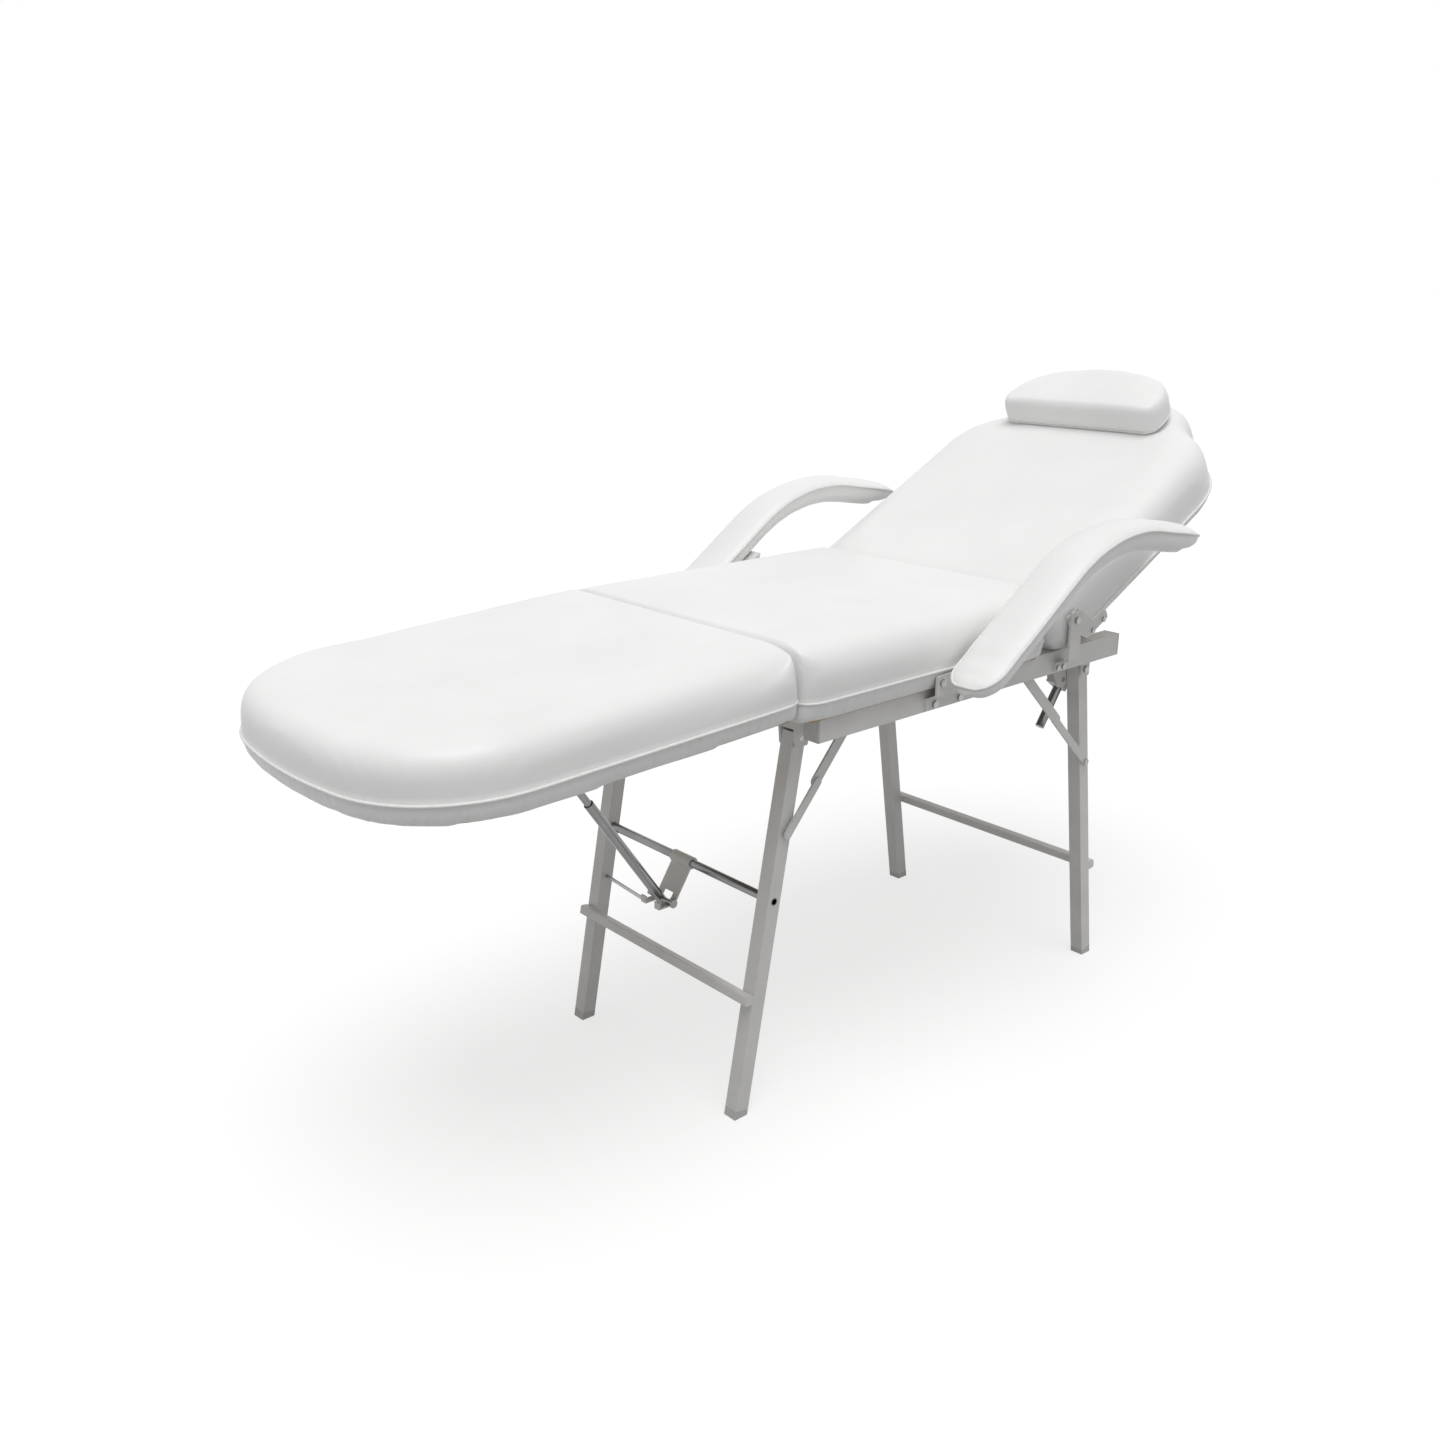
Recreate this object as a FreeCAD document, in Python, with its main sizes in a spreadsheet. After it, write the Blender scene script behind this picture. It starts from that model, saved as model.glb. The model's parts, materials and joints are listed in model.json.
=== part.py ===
"""Folding facial massage bed: three hinged pads on a steel frame with nesting legs.

Millimetres, +X to the head end, +Z up, origin on the floor under the middle of the bed.
While it is built, x = 0 is the crease between seat and back pads; the bed is centred at the end.
"""
import FreeCAD, Part
import math
import os
from FreeCAD import Placement, Rotation, Vector

doc = FreeCAD.newDocument("FacialMassageBed")
sheet = doc.addObject("Spreadsheet::Sheet", "Sizes")

DRIVING_SIZES = [
    # Pads
    ("pad_width", 580.0), ("seat_top", 755.0), ("seat_length", 604.0), ("seat_depth", 112.0),
    ("foot_length", 634.0), ("foot_depth", 100.0), ("back_depth", 110.0), ("pad_gap", 3.0),
    ("foot_droop", 2.5), ("recline", 27.0), ("pad_corner", 24.0),
    ("foot_corner_radius", 185.0), ("foot_end_radius", 800.0),
    ("shoulder_start", 400.0), ("shoulder_radius", 150.0), ("shoulder_angle", 30.0),
    ("neck_radius", 55.0), ("neck_angle", 70.0), ("head_radius", 95.0), ("head_angle", 12.0),
    ("edge_roll", 62.0), ("edge_tuck", 9.0), ("soft_gap", 0.3),
    ("board_thickness", 12.0), ("board_inset", 12.0), ("batten_width", 55.0), ("batten_inset", 20.0),
    # Pillow
    ("pillow_front", 465.0), ("pillow_width", 344.0), ("pillow_depth", 55.0),
    ("pillow_front_corner", 28.0), ("pillow_rear_corner", 98.0), ("pillow_rear_start", 500.0),
    ("pillow_rear_angle", 20.0), ("pillow_roll", 26.0),
    # Frame
    ("rail_inset", 20.0), ("rail_width", 30.0), ("rail_height", 38.0), ("rail_wall", 2.0),
    ("rail_front_set", 47.0), ("rail_rear", 187.0), ("end_cap", 3.0),
    ("cross_side", 30.0), ("cross_wall", 1.5), ("cross_drop", 1.0), ("cross_mid_reach", 230.0),
    ("cross_rear_set", 60.0),
    # Legs
    ("leg_side", 25.0), ("leg_wall", 1.5), ("leg_head", 8.0),
    ("front_leg_inset", 70.0), ("front_pivot_set", 16.0), ("front_pivot_drop", 9.0),
    ("front_leg_splay", 112.0),
    ("rear_leg_inset", 36.0), ("rear_pivot_set", 65.0), ("rear_pivot_drop", 19.0),
    ("rear_leg_splay", 91.0),
    ("crossbar_side", 16.0), ("crossbar_edge", 3.0), ("front_bar_drop", 410.0), ("rear_bar_drop", 406.0),
    ("foot_plug_depth", 22.0), ("leg_end_gap", 12.0),
    ("lug_thickness", 4.0), ("lug_radius", 12.5), ("lug_edge", 3.0), ("lug_gap", 1.0), ("lug_relief", 4.0),
    ("pivot_diameter", 8.0),
    ("bolt_head", 12.0), ("bolt_head_height", 4.0), ("rivet_head_height", 2.4), ("running_gap", 0.05),
    ("round_bar_diameter", 14.0), ("round_bar_wall", 2.0), ("round_bar_drop", 254.0),
    ("stay_rod_diameter", 6.0), ("stay_rod_drop", 344.0),
    # Folding braces
    ("brace_thickness", 3.5), ("brace_gap", 0.5), ("brace_width", 14.0), ("brace_upper_width", 18.0),
    ("front_brace_leg", 147.0), ("front_brace_set", 114.0), ("front_brace_lower", 92.0),
    ("rear_brace_leg", 181.0), ("rear_brace_set", 182.0), ("brace_stud_rise", 7.0),
    # Foot strut
    ("foot_lug_reach", 255.0), ("foot_lug_drop", 14.0), ("strut_hook_ahead", 97.0),
    ("strut_hook_drop", 301.0), ("strut_tube_diameter", 16.0), ("strut_rod_diameter", 12.0),
    ("strut_tube_length", 246.0), ("strut_tube_end", 3.0), ("strut_rod_length", 232.0),
    ("strut_pin_diameter", 8.0), ("strut_pin_overhang", 4.0),
    ("hook_width", 46.0), ("hook_sheet", 3.0), ("hook_seat_gap", 2.5), ("hook_slack", 6.0),
    ("hook_shelf", 20.0), ("hook_lip", 9.0), ("hook_notch_gap", 3.0), ("hook_notch_rise", 6.0),
    ("knob_diameter", 14.0), ("knob_length", 9.0),
    # Back struts
    ("back_bar_diameter", 16.0), ("back_bar_inset", 29.0), ("back_bar_angle", 54.2),
    ("back_bar_set", 9.0), ("back_bar_drop", 33.0), ("back_bar_offset", 17.0),
    ("back_bar_half_apex", 20.5), ("back_bar_tail", 90.0), ("back_bar_top_gap", 2.0),
    ("back_bar_arm", 30.0), ("back_bar_arm_rise", 8.0), ("guide_length", 24.0), ("guide_wall", 4.0),
    ("guide_width", 21.0), ("guide_pin_diameter", 10.0), ("eye_thickness", 8.0), ("eye_radius", 10.0),
    ("eye_neck", 16.0), ("neck_overlap", 2.0), ("ear_thickness", 4.0), ("ear_gap", 0.4),
    ("ear_foot", 33.0), ("ear_edge", 4.0), ("lug_foot_length", 44.0),
    # Back hinge
    ("hinge_plate", 4.0), ("hinge_plate_gap", 0.5), ("hinge_boss", 14.0), ("hinge_pin_diameter", 10.0),
    ("hinge_plate_length", 82.0), ("hinge_plate_edge", 3.0), ("hinge_plate_lift", 1.5),
    ("hinge_heel", 20.5), ("hinge_shoulder_set", 36.9), ("hinge_shoulder_rise", 9.0), ("hinge_end_rise", 5.0),
    ("hinge_screw_set", 12.3), ("hinge_screw_pitch", 32.8), ("hinge_bracket_width", 30.0),
    ("bracket_bolt_pitch", 15.0), ("bracket_foot_rise", 4.0), ("bracket_knee_rise", 27.0),
    ("bracket_inner_high", 2.0), ("joggle_rise", 12.0), ("joggle_inner_low", 9.0),
    ("screw_head", 9.0), ("screw_head_height", 3.0),
    # Foot hinge
    ("foot_hinge_drop", 4.0), ("foot_hinge_spacing", 340.0), ("leaf_width", 78.0), ("leaf_length", 42.0),
    ("leaf_thickness", 2.4), ("leaf_gap", 1.0), ("leaf_tab", 3.0), ("knuckle_diameter", 10.0),
    ("hinge_rod_diameter", 5.0), ("knuckle_gap", 0.4),
    # Armrests
    ("armrest_width", 88.0), ("armrest_gap", 13.0), ("armrest_start_reach", 338.0),
    ("armrest_start_rise", 44.0), ("armrest_toe_slope", 8.0), ("armrest_toe_length", 70.0),
    ("armrest_toe_blunt", 1.5),
    ("armrest_slope", 35.0), ("armrest_slope_length", 180.0), ("armrest_crest_length", 220.0),
    ("armrest_fall", 9.5), ("armrest_fall_length", 182.0), ("armrest_tip_length", 90.0),
    ("armrest_pad", 30.0), ("armrest_pad_top", 40.0), ("armrest_board", 6.0), ("armrest_board_inset", 9.0),
    ("armrest_board_gap", 0.6), ("armrest_web", 4.0), ("armrest_flange", 46.0),
    ("armrest_flange_length", 140.0),
    ("armrest_web_front", 62.0), ("armrest_web_rear", 38.0), ("armrest_web_tip", 30.0),
    ("armrest_web_lip", 3.0),
    ("armrest_foot_rise", 2.0), ("armrest_knee_rise", 30.0), ("armrest_joggle_length", 100.0),
    ("armrest_joggle_set", 12.0), ("armrest_joggle_top", 4.0), ("armrest_joggle_inner", 1.0),
    ("armrest_bolt_pitch", 60.0), ("armrest_side_bolt_set", 51.0), ("armrest_side_bolt_drop", 14.0),
]

# Sizes that follow others: each is the sum of the named sizes times their factors
TIED_SIZES = {
    "rail_bottom": {"seat_top": 1, "seat_depth": -1, "rail_height": -1},
    "rail_span": {"pad_width": 1, "rail_inset": -2},
    "rail_front": {"seat_length": 1, "rail_front_set": -1},
    "batten_length": {"rail_span": 1, "batten_inset": -2},
    "front_leg_spacing": {"rail_span": 1, "front_leg_inset": -2},
    "front_pivot_reach": {"rail_front": 1, "front_pivot_set": -1},
    "front_pivot_height": {"rail_bottom": 1, "front_pivot_drop": -1},
    "rear_leg_spacing": {"rail_span": 1, "rear_leg_inset": -2},
    "rear_pivot_reach": {"rail_rear": 1, "rear_pivot_set": -1},
    "rear_pivot_height": {"rail_bottom": 1, "rear_pivot_drop": -1},
    "cross_rear_reach": {"rear_pivot_reach": 1, "cross_rear_set": -1},
    "brace_stud_height": {"rail_bottom": 1, "brace_stud_rise": 1},
    "front_brace_reach": {"front_pivot_reach": 1, "front_brace_set": -1},
    "rear_brace_reach": {"rear_brace_set": 1, "rear_pivot_reach": -1},
    "strut_hook_reach": {"front_pivot_reach": 1, "strut_hook_ahead": 1},
    "strut_hook_height": {"front_pivot_height": 1, "strut_hook_drop": -1},
    "back_bar_spacing": {"rear_leg_spacing": 1, "back_bar_inset": -2},
    "back_bar_reach": {"rear_pivot_reach": 1, "back_bar_set": 1},
    "back_bar_level": {"rail_bottom": 1, "back_bar_drop": -1},
    "armrest_start_height": {"rail_bottom": 1, "armrest_start_rise": 1},
}

# Side of a pad: share of its depth, then the shares of tuck and of edge roll that draw it in there
PAD_PROFILE = (
    (0.0, 1.0, 0.0), (0.14, 0.25, 0.0), (0.42, 0.0, 0.0), (0.66, 0.0, 0.035),
    (0.83, 0.0, 0.18), (0.945, 0.0, 0.48), (1.0, 0.0, 1.0),
)
SMALLEST_CORNER = 1 / 6
BACK_BOARD_START = 0.5
BOARD_SCREW_SHARES = (0.12, 0.5, 0.86)
REAR_BRACE_SHARE = 0.5
STAY_ROD_EXCESS = 1.3

# Armrest: sections in each of its four runs, and how its width and height fade towards toe and tip
ARMREST_STEPS = (6, 3, 5, 6)
ARMREST_TIP_ANGLE = 18.0
ARMREST_TOE_HEIGHT = 0.6
ARMREST_TIP_HEIGHT = 0.3
ARMREST_TIP_LIFT = 0.4
ARMREST_SHOULDER = 0.68
ARMREST_BASE = 0.94

for row, (alias, value) in enumerate(DRIVING_SIZES, start=1):
    sheet.set("A%d" % row, alias)
    sheet.set("B%d" % row, str(value))
    sheet.setAlias("B%d" % row, alias)
doc.recompute()

LEFT_AND_RIGHT = (("left", 1.0), ("right", -1.0))
nodes = []


def size(alias):
    """Value of a size, from the sheet or from the sizes that it follows."""
    if alias in TIED_SIZES:
        return sum(factor * size(name) for name, factor in TIED_SIZES[alias].items())
    return float(sheet.get(alias))


def bind(thing, **expressions):
    """Tie properties of an object to cells of the sheet."""
    for name, expression in expressions.items():
        thing.setExpression(name, expression)


def placed(x, y, z, tilt=0.0):
    """Place something at a point, turned about Y; a negative tilt raises its +X end."""
    return Placement(Vector(x, y, z), Rotation(Vector(0, 1, 0), tilt))


def node(thing, label):
    """Give an object its own label and keep it as a piece of the bed."""
    thing.Label = label
    nodes.append(thing)
    return thing


def cell(alias):
    """Sheet expression of a size, or of the sizes that it follows."""
    if alias in TIED_SIZES:
        terms = ["%d * %s" % (factor, cell(name)) for name, factor in TIED_SIZES[alias].items()]
        return "(%s)" % " + ".join(terms)
    return "Sizes." + alias


def box(name, length, width, height, centre):
    """Make a box from sheet expressions, centred on a point."""
    thing = doc.addObject("Part::Box", name)
    bind(thing, Length=length, Width=width, Height=height)
    doc.recompute([thing])
    half = Vector(thing.Length.Value, thing.Width.Value, thing.Height.Value) * 0.5
    thing.Placement = Placement(centre - half, Rotation())
    return thing


def rod(name, diameter, length, centre, along):
    """Make a round rod from sheet expressions, centred on a point."""
    thing = doc.addObject("Part::Cylinder", name)
    bind(thing, Radius="(%s) / 2" % diameter, Height=length)
    doc.recompute([thing])
    turn = Rotation(Vector(0, 0, 1), along)
    thing.Placement = Placement(centre - along.normalize() * (thing.Height.Value / 2), turn)
    return thing


def group(name, things):
    """Hold separate solids in one object, or return the only one."""
    if len(things) == 1:
        return things[0]
    held = doc.addObject("Part::Compound", name)
    held.Links = things
    return held


def cut(name, base, tools):
    result = doc.addObject("Part::Cut", name)
    result.Base = base
    result.Tool = group(name + "_tools", tools)
    return result


def common(name, first, second):
    result = doc.addObject("Part::Common", name)
    result.Base = first
    result.Tool = second
    return result


def fused(name, things):
    result = doc.addObject("Part::MultiFuse", name)
    result.Shapes = things
    return result


def lines(points):
    """Closed outline of straight edges."""
    return [Part.LineSegment(a, b) for a, b in zip(points, points[1:] + points[:1])]


def rounded(corners, radius):
    """Closed outline of straight edges with every corner rounded."""
    starts, ends, middles = [], [], []
    for index, corner in enumerate(corners):
        before = (corners[index - 1] - corner).normalize()
        after = (corners[(index + 1) % len(corners)] - corner).normalize()
        half = before.getAngle(after) / 2
        reach = radius / math.tan(half)
        bisector = (before + after).normalize()
        starts.append(corner + before * reach)
        ends.append(corner + after * reach)
        middles.append(corner + bisector * (radius / math.sin(half) - radius))
    edges = []
    for index in range(len(corners)):
        edges.append(Part.Arc(starts[index], middles[index], ends[index]))
        edges.append(Part.LineSegment(ends[index], starts[(index + 1) % len(corners)]))
    return edges


def stadium(reach, radius):
    """Outline of a flat bar with round ends, from the origin along +X."""
    low, high = Vector(0, -radius, 0), Vector(0, radius, 0)
    along = Vector(reach, 0, 0)
    return [
        Part.LineSegment(low, low + along),
        Part.Arc(low + along, along + Vector(radius, 0, 0), high + along),
        Part.LineSegment(high + along, high),
        Part.Arc(high, Vector(-radius, 0, 0), low),
    ]


def plate(name, outline, thickness, place, holes=(), plane="XZ_Plane"):
    """Pad a sketched outline evenly to both sides of its plane."""
    body = doc.addObject("PartDesign::Body", name)
    sketch = body.newObject("Sketcher::SketchObject", name + "_sketch")
    support = [feature for feature in body.Origin.OriginFeatures if feature.Role == plane][0]
    sketch.AttachmentSupport = [(support, "")]
    sketch.MapMode = "FlatFace"
    for edge in outline:
        sketch.addGeometry(edge)
    for x, y, radius in holes:
        sketch.addGeometry(Part.Circle(Vector(x, y, 0), Vector(0, 0, 1), radius))
    pad = body.newObject("PartDesign::Pad", name + "_pad")
    pad.Profile = sketch
    pad.SideType = "Symmetric"
    bind(pad, Length=thickness)
    body.Placement = place
    return body


def square_tube(name, side, wall, length, place, holes=()):
    """Square tube down local Z from its head; each hole is (x, y, z, diameter, axis)."""
    outer = box(name + "_outer", side, side, length, Vector())
    bore_side = "%s - 2 * %s" % (side, wall)
    inner = box(name + "_bore", bore_side, bore_side, length, Vector())
    tools = [inner]
    for index, (centre, diameter, axis) in enumerate(holes):
        tools.append(rod("%s_hole%d" % (name, index), diameter, "2 * " + side, centre, axis))
    tube = cut(name, outer, tools)
    tube.Placement = place
    return tube


# Lines that the pieces share

ACROSS = Vector(0, 1, 0)
half_pad = size("pad_width") / 2
rail_top = size("seat_top") - size("seat_depth")
rail_bottom = size("rail_bottom")
rail_outer = size("rail_span") / 2
rail_inner = rail_outer - size("rail_width")
nose_radius = size("back_depth") / 2
back_hinge_x = nose_radius * math.tan(math.radians(size("recline") / 2))
back_hinge_z = size("seat_top") - nose_radius
foot_hinge_x = -size("seat_length")
foot_hinge_z = rail_top - size("foot_hinge_drop")
foot_under = size("seat_top") - size("foot_depth") - foot_hinge_z
back_place = placed(back_hinge_x, 0, back_hinge_z, -size("recline"))
foot_place = placed(foot_hinge_x, 0, foot_hinge_z, -size("foot_droop"))


def pad_sections(depth, roll, tuck):
    """Heights over the underside, with the inset of the side at each."""
    return [(share * depth, tucked * tuck + rolled * roll) for share, tucked, rolled in PAD_PROFILE]


def corner_arc(x, y, radius, inset, quadrant):
    """Quarter arc of a square corner drawn in by an inset; quadrants count anticlockwise from +X +Y."""
    signs = ((1, 1), (-1, 1), (-1, -1), (1, -1))[quadrant]
    small = max(radius - inset, radius * SMALLEST_CORNER)
    centre = Vector(x - signs[0] * (inset + small), y - signs[1] * (inset + small), 0)
    return centre, small, 90.0 * quadrant, 90.0 * (quadrant + 1)


def joined_arcs(arcs):
    """Closed outline of the given arcs, joined by straight edges."""
    edges = []
    ends = []
    for centre, radius, start, stop in arcs:
        points = []
        for angle in (start, (start + stop) / 2, stop):
            turn = math.radians(angle)
            points.append(centre + Vector(math.cos(turn), math.sin(turn), 0) * radius)
        ends.append((points[0], points[2]))
        edges.append(Part.Arc(*points))
    outline = []
    for index, edge in enumerate(edges):
        outline.append(edge)
        start, stop = ends[index][1], ends[(index + 1) % len(edges)][0]
        if start.distanceToPoint(stop) > 1e-6:
            outline.append(Part.LineSegment(start, stop))
    return outline


def mirrored(arcs):
    """The same arcs on the other side of the X axis, in running order."""
    return [(Vector(c.x, -c.y, 0), r, -stop, -start) for c, r, start, stop in reversed(arcs)]


def seat_outline(inset):
    front_x = -size("seat_length") + size("pad_gap")
    rear_x = back_hinge_x - nose_radius - size("pad_gap")
    corner = size("pad_corner")
    return joined_arcs([
        corner_arc(rear_x, half_pad, corner, inset, 0), corner_arc(front_x, half_pad, corner, inset, 1),
        corner_arc(front_x, -half_pad, corner, inset, 2), corner_arc(rear_x, -half_pad, corner, inset, 3),
    ])


def foot_outline(inset):
    """Foot pad seen from above, hinge line at x = 0, rounded end towards -X."""
    corner, end = size("foot_corner_radius"), size("foot_end_radius")
    centre_y = half_pad - corner
    centre_x = -size("foot_length") + end - math.sqrt((end - corner) ** 2 - centre_y ** 2)
    swing = math.degrees(math.asin(centre_y / (end - corner)))
    half = [
        corner_arc(-size("pad_gap"), half_pad, size("pad_corner"), inset, 0),
        (Vector(centre_x, centre_y, 0), corner - inset, 90.0, 180.0 - swing),
    ]
    tip = (Vector(end - size("foot_length"), 0, 0), end - inset, 180.0 - swing, 180.0 + swing)
    other = [(Vector(c.x, -c.y, 0), r, 360.0 - stop, 360.0 - start) for c, r, start, stop in reversed(half)]
    return joined_arcs(half + [tip] + other)


def back_outline(inset, front):
    """Back pad seen square on, hinge line at x = 0, shoulders, neck and head towards +X."""
    shoulder, neck, head = size("shoulder_radius"), size("neck_radius"), size("head_radius")
    low, high, end = (math.radians(size(name)) for name in ("shoulder_angle", "neck_angle", "head_angle"))
    shoulder_centre = Vector(size("shoulder_start"), half_pad - shoulder, 0)
    neck_centre = shoulder_centre + Vector(math.cos(low), math.sin(low), 0) * (shoulder + neck)
    head_centre = neck_centre - Vector(math.cos(high), math.sin(high), 0) * (neck + head)
    end_reach = head_centre.y / math.sin(end)
    end_centre = Vector(head_centre.x - end_reach * math.cos(end), 0, 0)
    half = [
        (head_centre, head - inset, size("head_angle"), size("neck_angle")),
        (neck_centre, neck + inset, 180.0 + size("neck_angle"), 180.0 + size("shoulder_angle")),
        (shoulder_centre, shoulder - inset, size("shoulder_angle"), 90.0),
        corner_arc(front - inset, half_pad, size("pad_corner"), inset, 1),
    ]
    tip = (end_centre, end_reach + head - inset, -size("head_angle"), size("head_angle"))
    return joined_arcs([tip] + half + mirrored(half))


def pillow_outline(inset):
    """Half-moon pillow on the back pad, straight edge towards the seat."""
    front, rear = size("pillow_front_corner"), size("pillow_rear_corner")
    half_width, turn = size("pillow_width") / 2, math.radians(size("pillow_rear_angle"))
    rear_centre = Vector(size("pillow_rear_start"), half_width - rear, 0)
    reach = rear_centre.y / math.sin(turn)
    half = [
        (rear_centre, rear - inset, size("pillow_rear_angle"), 90.0),
        (Vector(size("pillow_front") + front, half_width - front, 0), front - inset, 90.0, 180.0),
    ]
    tip = (Vector(rear_centre.x - reach * math.cos(turn), 0, 0), reach + rear - inset,
           -size("pillow_rear_angle"), size("pillow_rear_angle"))
    return joined_arcs([tip] + half + mirrored(half))


def wire_at(outline, height):
    wire = Part.Wire(Part.__sortEdges__([edge.toShape() for edge in outline]))
    wire.translate(Vector(0, 0, height))
    return wire


def soft_solid(name, sections, place, recess=None):
    """Loft a cushion through its outlines, hollowed under for its board."""
    wires = [wire_at(outline, height) for height, outline in sections]
    solid = Part.makeLoft(wires, True, False)
    if recess:
        outline, height = recess
        start = wire_at(outline, sections[0][0])
        solid = solid.cut(Part.Face(start).extrude(Vector(0, 0, height)))
    thing = doc.addObject("Part::Feature", name)
    thing.Shape = solid
    thing.Placement = place
    return thing


def board(name, outline, place):
    """Plywood panel on the underside of a pad."""
    return plate(name, outline, cell("board_thickness"), place, plane="XY_Plane")


def make_pads():
    """Seat, foot and back cushions, each with its board, and the pillow."""
    inset = size("board_inset")
    clear = inset - size("soft_gap")
    recess = size("board_thickness") + size("soft_gap")
    half_board = size("board_thickness") / 2
    roll, tuck = size("edge_roll"), size("edge_tuck")

    seat_place = placed(0, 0, rail_top)
    sections = [(z, seat_outline(i)) for z, i in pad_sections(size("seat_depth"), roll, tuck)]
    node(soft_solid("seat_cushion", sections, seat_place, (seat_outline(clear), recess)), "seat_cushion")
    node(board("seat_board", seat_outline(inset), placed(0, 0, rail_top + half_board)), "seat_board")

    sections = []
    for z, i in pad_sections(size("foot_depth"), roll, tuck):
        sections.append((foot_under + z, foot_outline(i)))
    node(soft_solid("foot_cushion", sections, foot_place, (foot_outline(clear), recess)), "foot_cushion")
    raised = foot_place.multiply(placed(0, 0, foot_under + half_board))
    node(board("foot_board", foot_outline(inset), raised), "foot_board")

    sections = []
    for z, i in pad_sections(size("back_depth"), roll, tuck):
        level = z - nose_radius
        front = -math.sqrt(max(nose_radius ** 2 - level ** 2, 0.0))
        sections.append((level, back_outline(i, front)))
    floor = size("board_thickness") + size("soft_gap") - nose_radius
    board_front = -math.sqrt(nose_radius ** 2 - floor ** 2) * BACK_BOARD_START + inset
    back_recess = (back_outline(clear, board_front - size("soft_gap")), recess)
    node(soft_solid("back_cushion", sections, back_place, back_recess), "back_cushion")
    lowered = back_place.multiply(placed(0, 0, half_board - nose_radius))
    node(board("back_board", back_outline(inset, board_front), lowered), "back_board")

    sections = []
    for z, i in pad_sections(size("pillow_depth"), size("pillow_roll"), size("edge_tuck") / 2):
        sections.append((nose_radius + size("soft_gap") + z, pillow_outline(i)))
    node(soft_solid("pillow", sections, back_place), "pillow")


def make_rails():
    """Folded channel rails, open below, with end caps, cross tubes and board screws."""
    length = "%s + %s" % (cell("rail_front"), cell("rail_rear"))
    middle_x = (size("rail_rear") - size("rail_front")) / 2
    half, wall, height = size("rail_width") / 2, size("rail_wall"), size("rail_height")
    channel = lines([
        Vector(-half, -height, 0), Vector(-half + wall, -height, 0), Vector(-half + wall, -wall, 0),
        Vector(half - wall, -wall, 0), Vector(half - wall, -height, 0), Vector(half, -height, 0),
        Vector(half, 0, 0), Vector(-half, 0, 0),
    ])
    caps = []
    screws = []
    for side, sign in LEFT_AND_RIGHT:
        rail_y = sign * (rail_outer - half)
        rail = plate("rail_" + side, channel, length, placed(middle_x, rail_y, rail_top), plane="YZ_Plane")
        node(rail, "rail_" + side)
        for end, x in (("front", -size("rail_front")), ("rear", size("rail_rear"))):
            outward = -1 if end == "front" else 1
            centre = Vector(x + outward * size("end_cap") / 2, rail_y, rail_top - height / 2)
            name = "cap_%s_%s" % (end, side)
            caps.append(box(name, cell("end_cap"), cell("rail_width"), cell("rail_height"), centre))
        for share in BOARD_SCREW_SHARES:
            x = -size("rail_front") + share * (size("rail_front") + back_hinge_x - nose_radius)
            under = Vector(x, rail_y, rail_top - wall - size("screw_head_height") / 2)
            name = "board_screw_%s_%d" % (side, round(100 * share))
            head = rod(name + "_head", cell("screw_head"), cell("screw_head_height"), under, Vector(0, 0, 1))
            screws.append(head)
    node(group("rail_end_caps", caps), "rail_end_caps")
    node(group("board_screw_heads", screws), "board_screw_heads")
    reaches = (
        ("front", -size("front_pivot_reach")), ("middle", -size("cross_mid_reach")),
        ("rear", size("cross_rear_reach") + size("cross_side") / 2),
    )
    tubes = []
    span = "%s - 2 * %s" % (cell("rail_span"), cell("rail_width"))
    level = rail_top - size("cross_drop") - size("cross_side") / 2
    for where, x in reaches:
        place = Placement(Vector(x, 0, level), Rotation(Vector(1, 0, 0), 90))
        tube = square_tube("cross_tube_" + where, cell("cross_side"), cell("cross_wall"), span, place)
        tubes.append(tube)
    node(group("cross_tubes", tubes), "cross_tubes")


def leg_tilt(which):
    """Lean of a pair of legs, as a turn about Y that carries the feet outwards."""
    lean = math.degrees(math.atan(size(which + "_leg_splay") / size(which + "_pivot_height")))
    return lean if which == "front" else -lean


def leg_pivot(which):
    sign = -1 if which == "front" else 1
    return sign * size(which + "_pivot_reach"), size(which + "_pivot_height")


def leg_frame(which):
    """Placement whose origin is the legs' pivot line and whose -Z runs down the legs."""
    x, z = leg_pivot(which)
    return placed(x, 0, z, leg_tilt(which))


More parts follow.
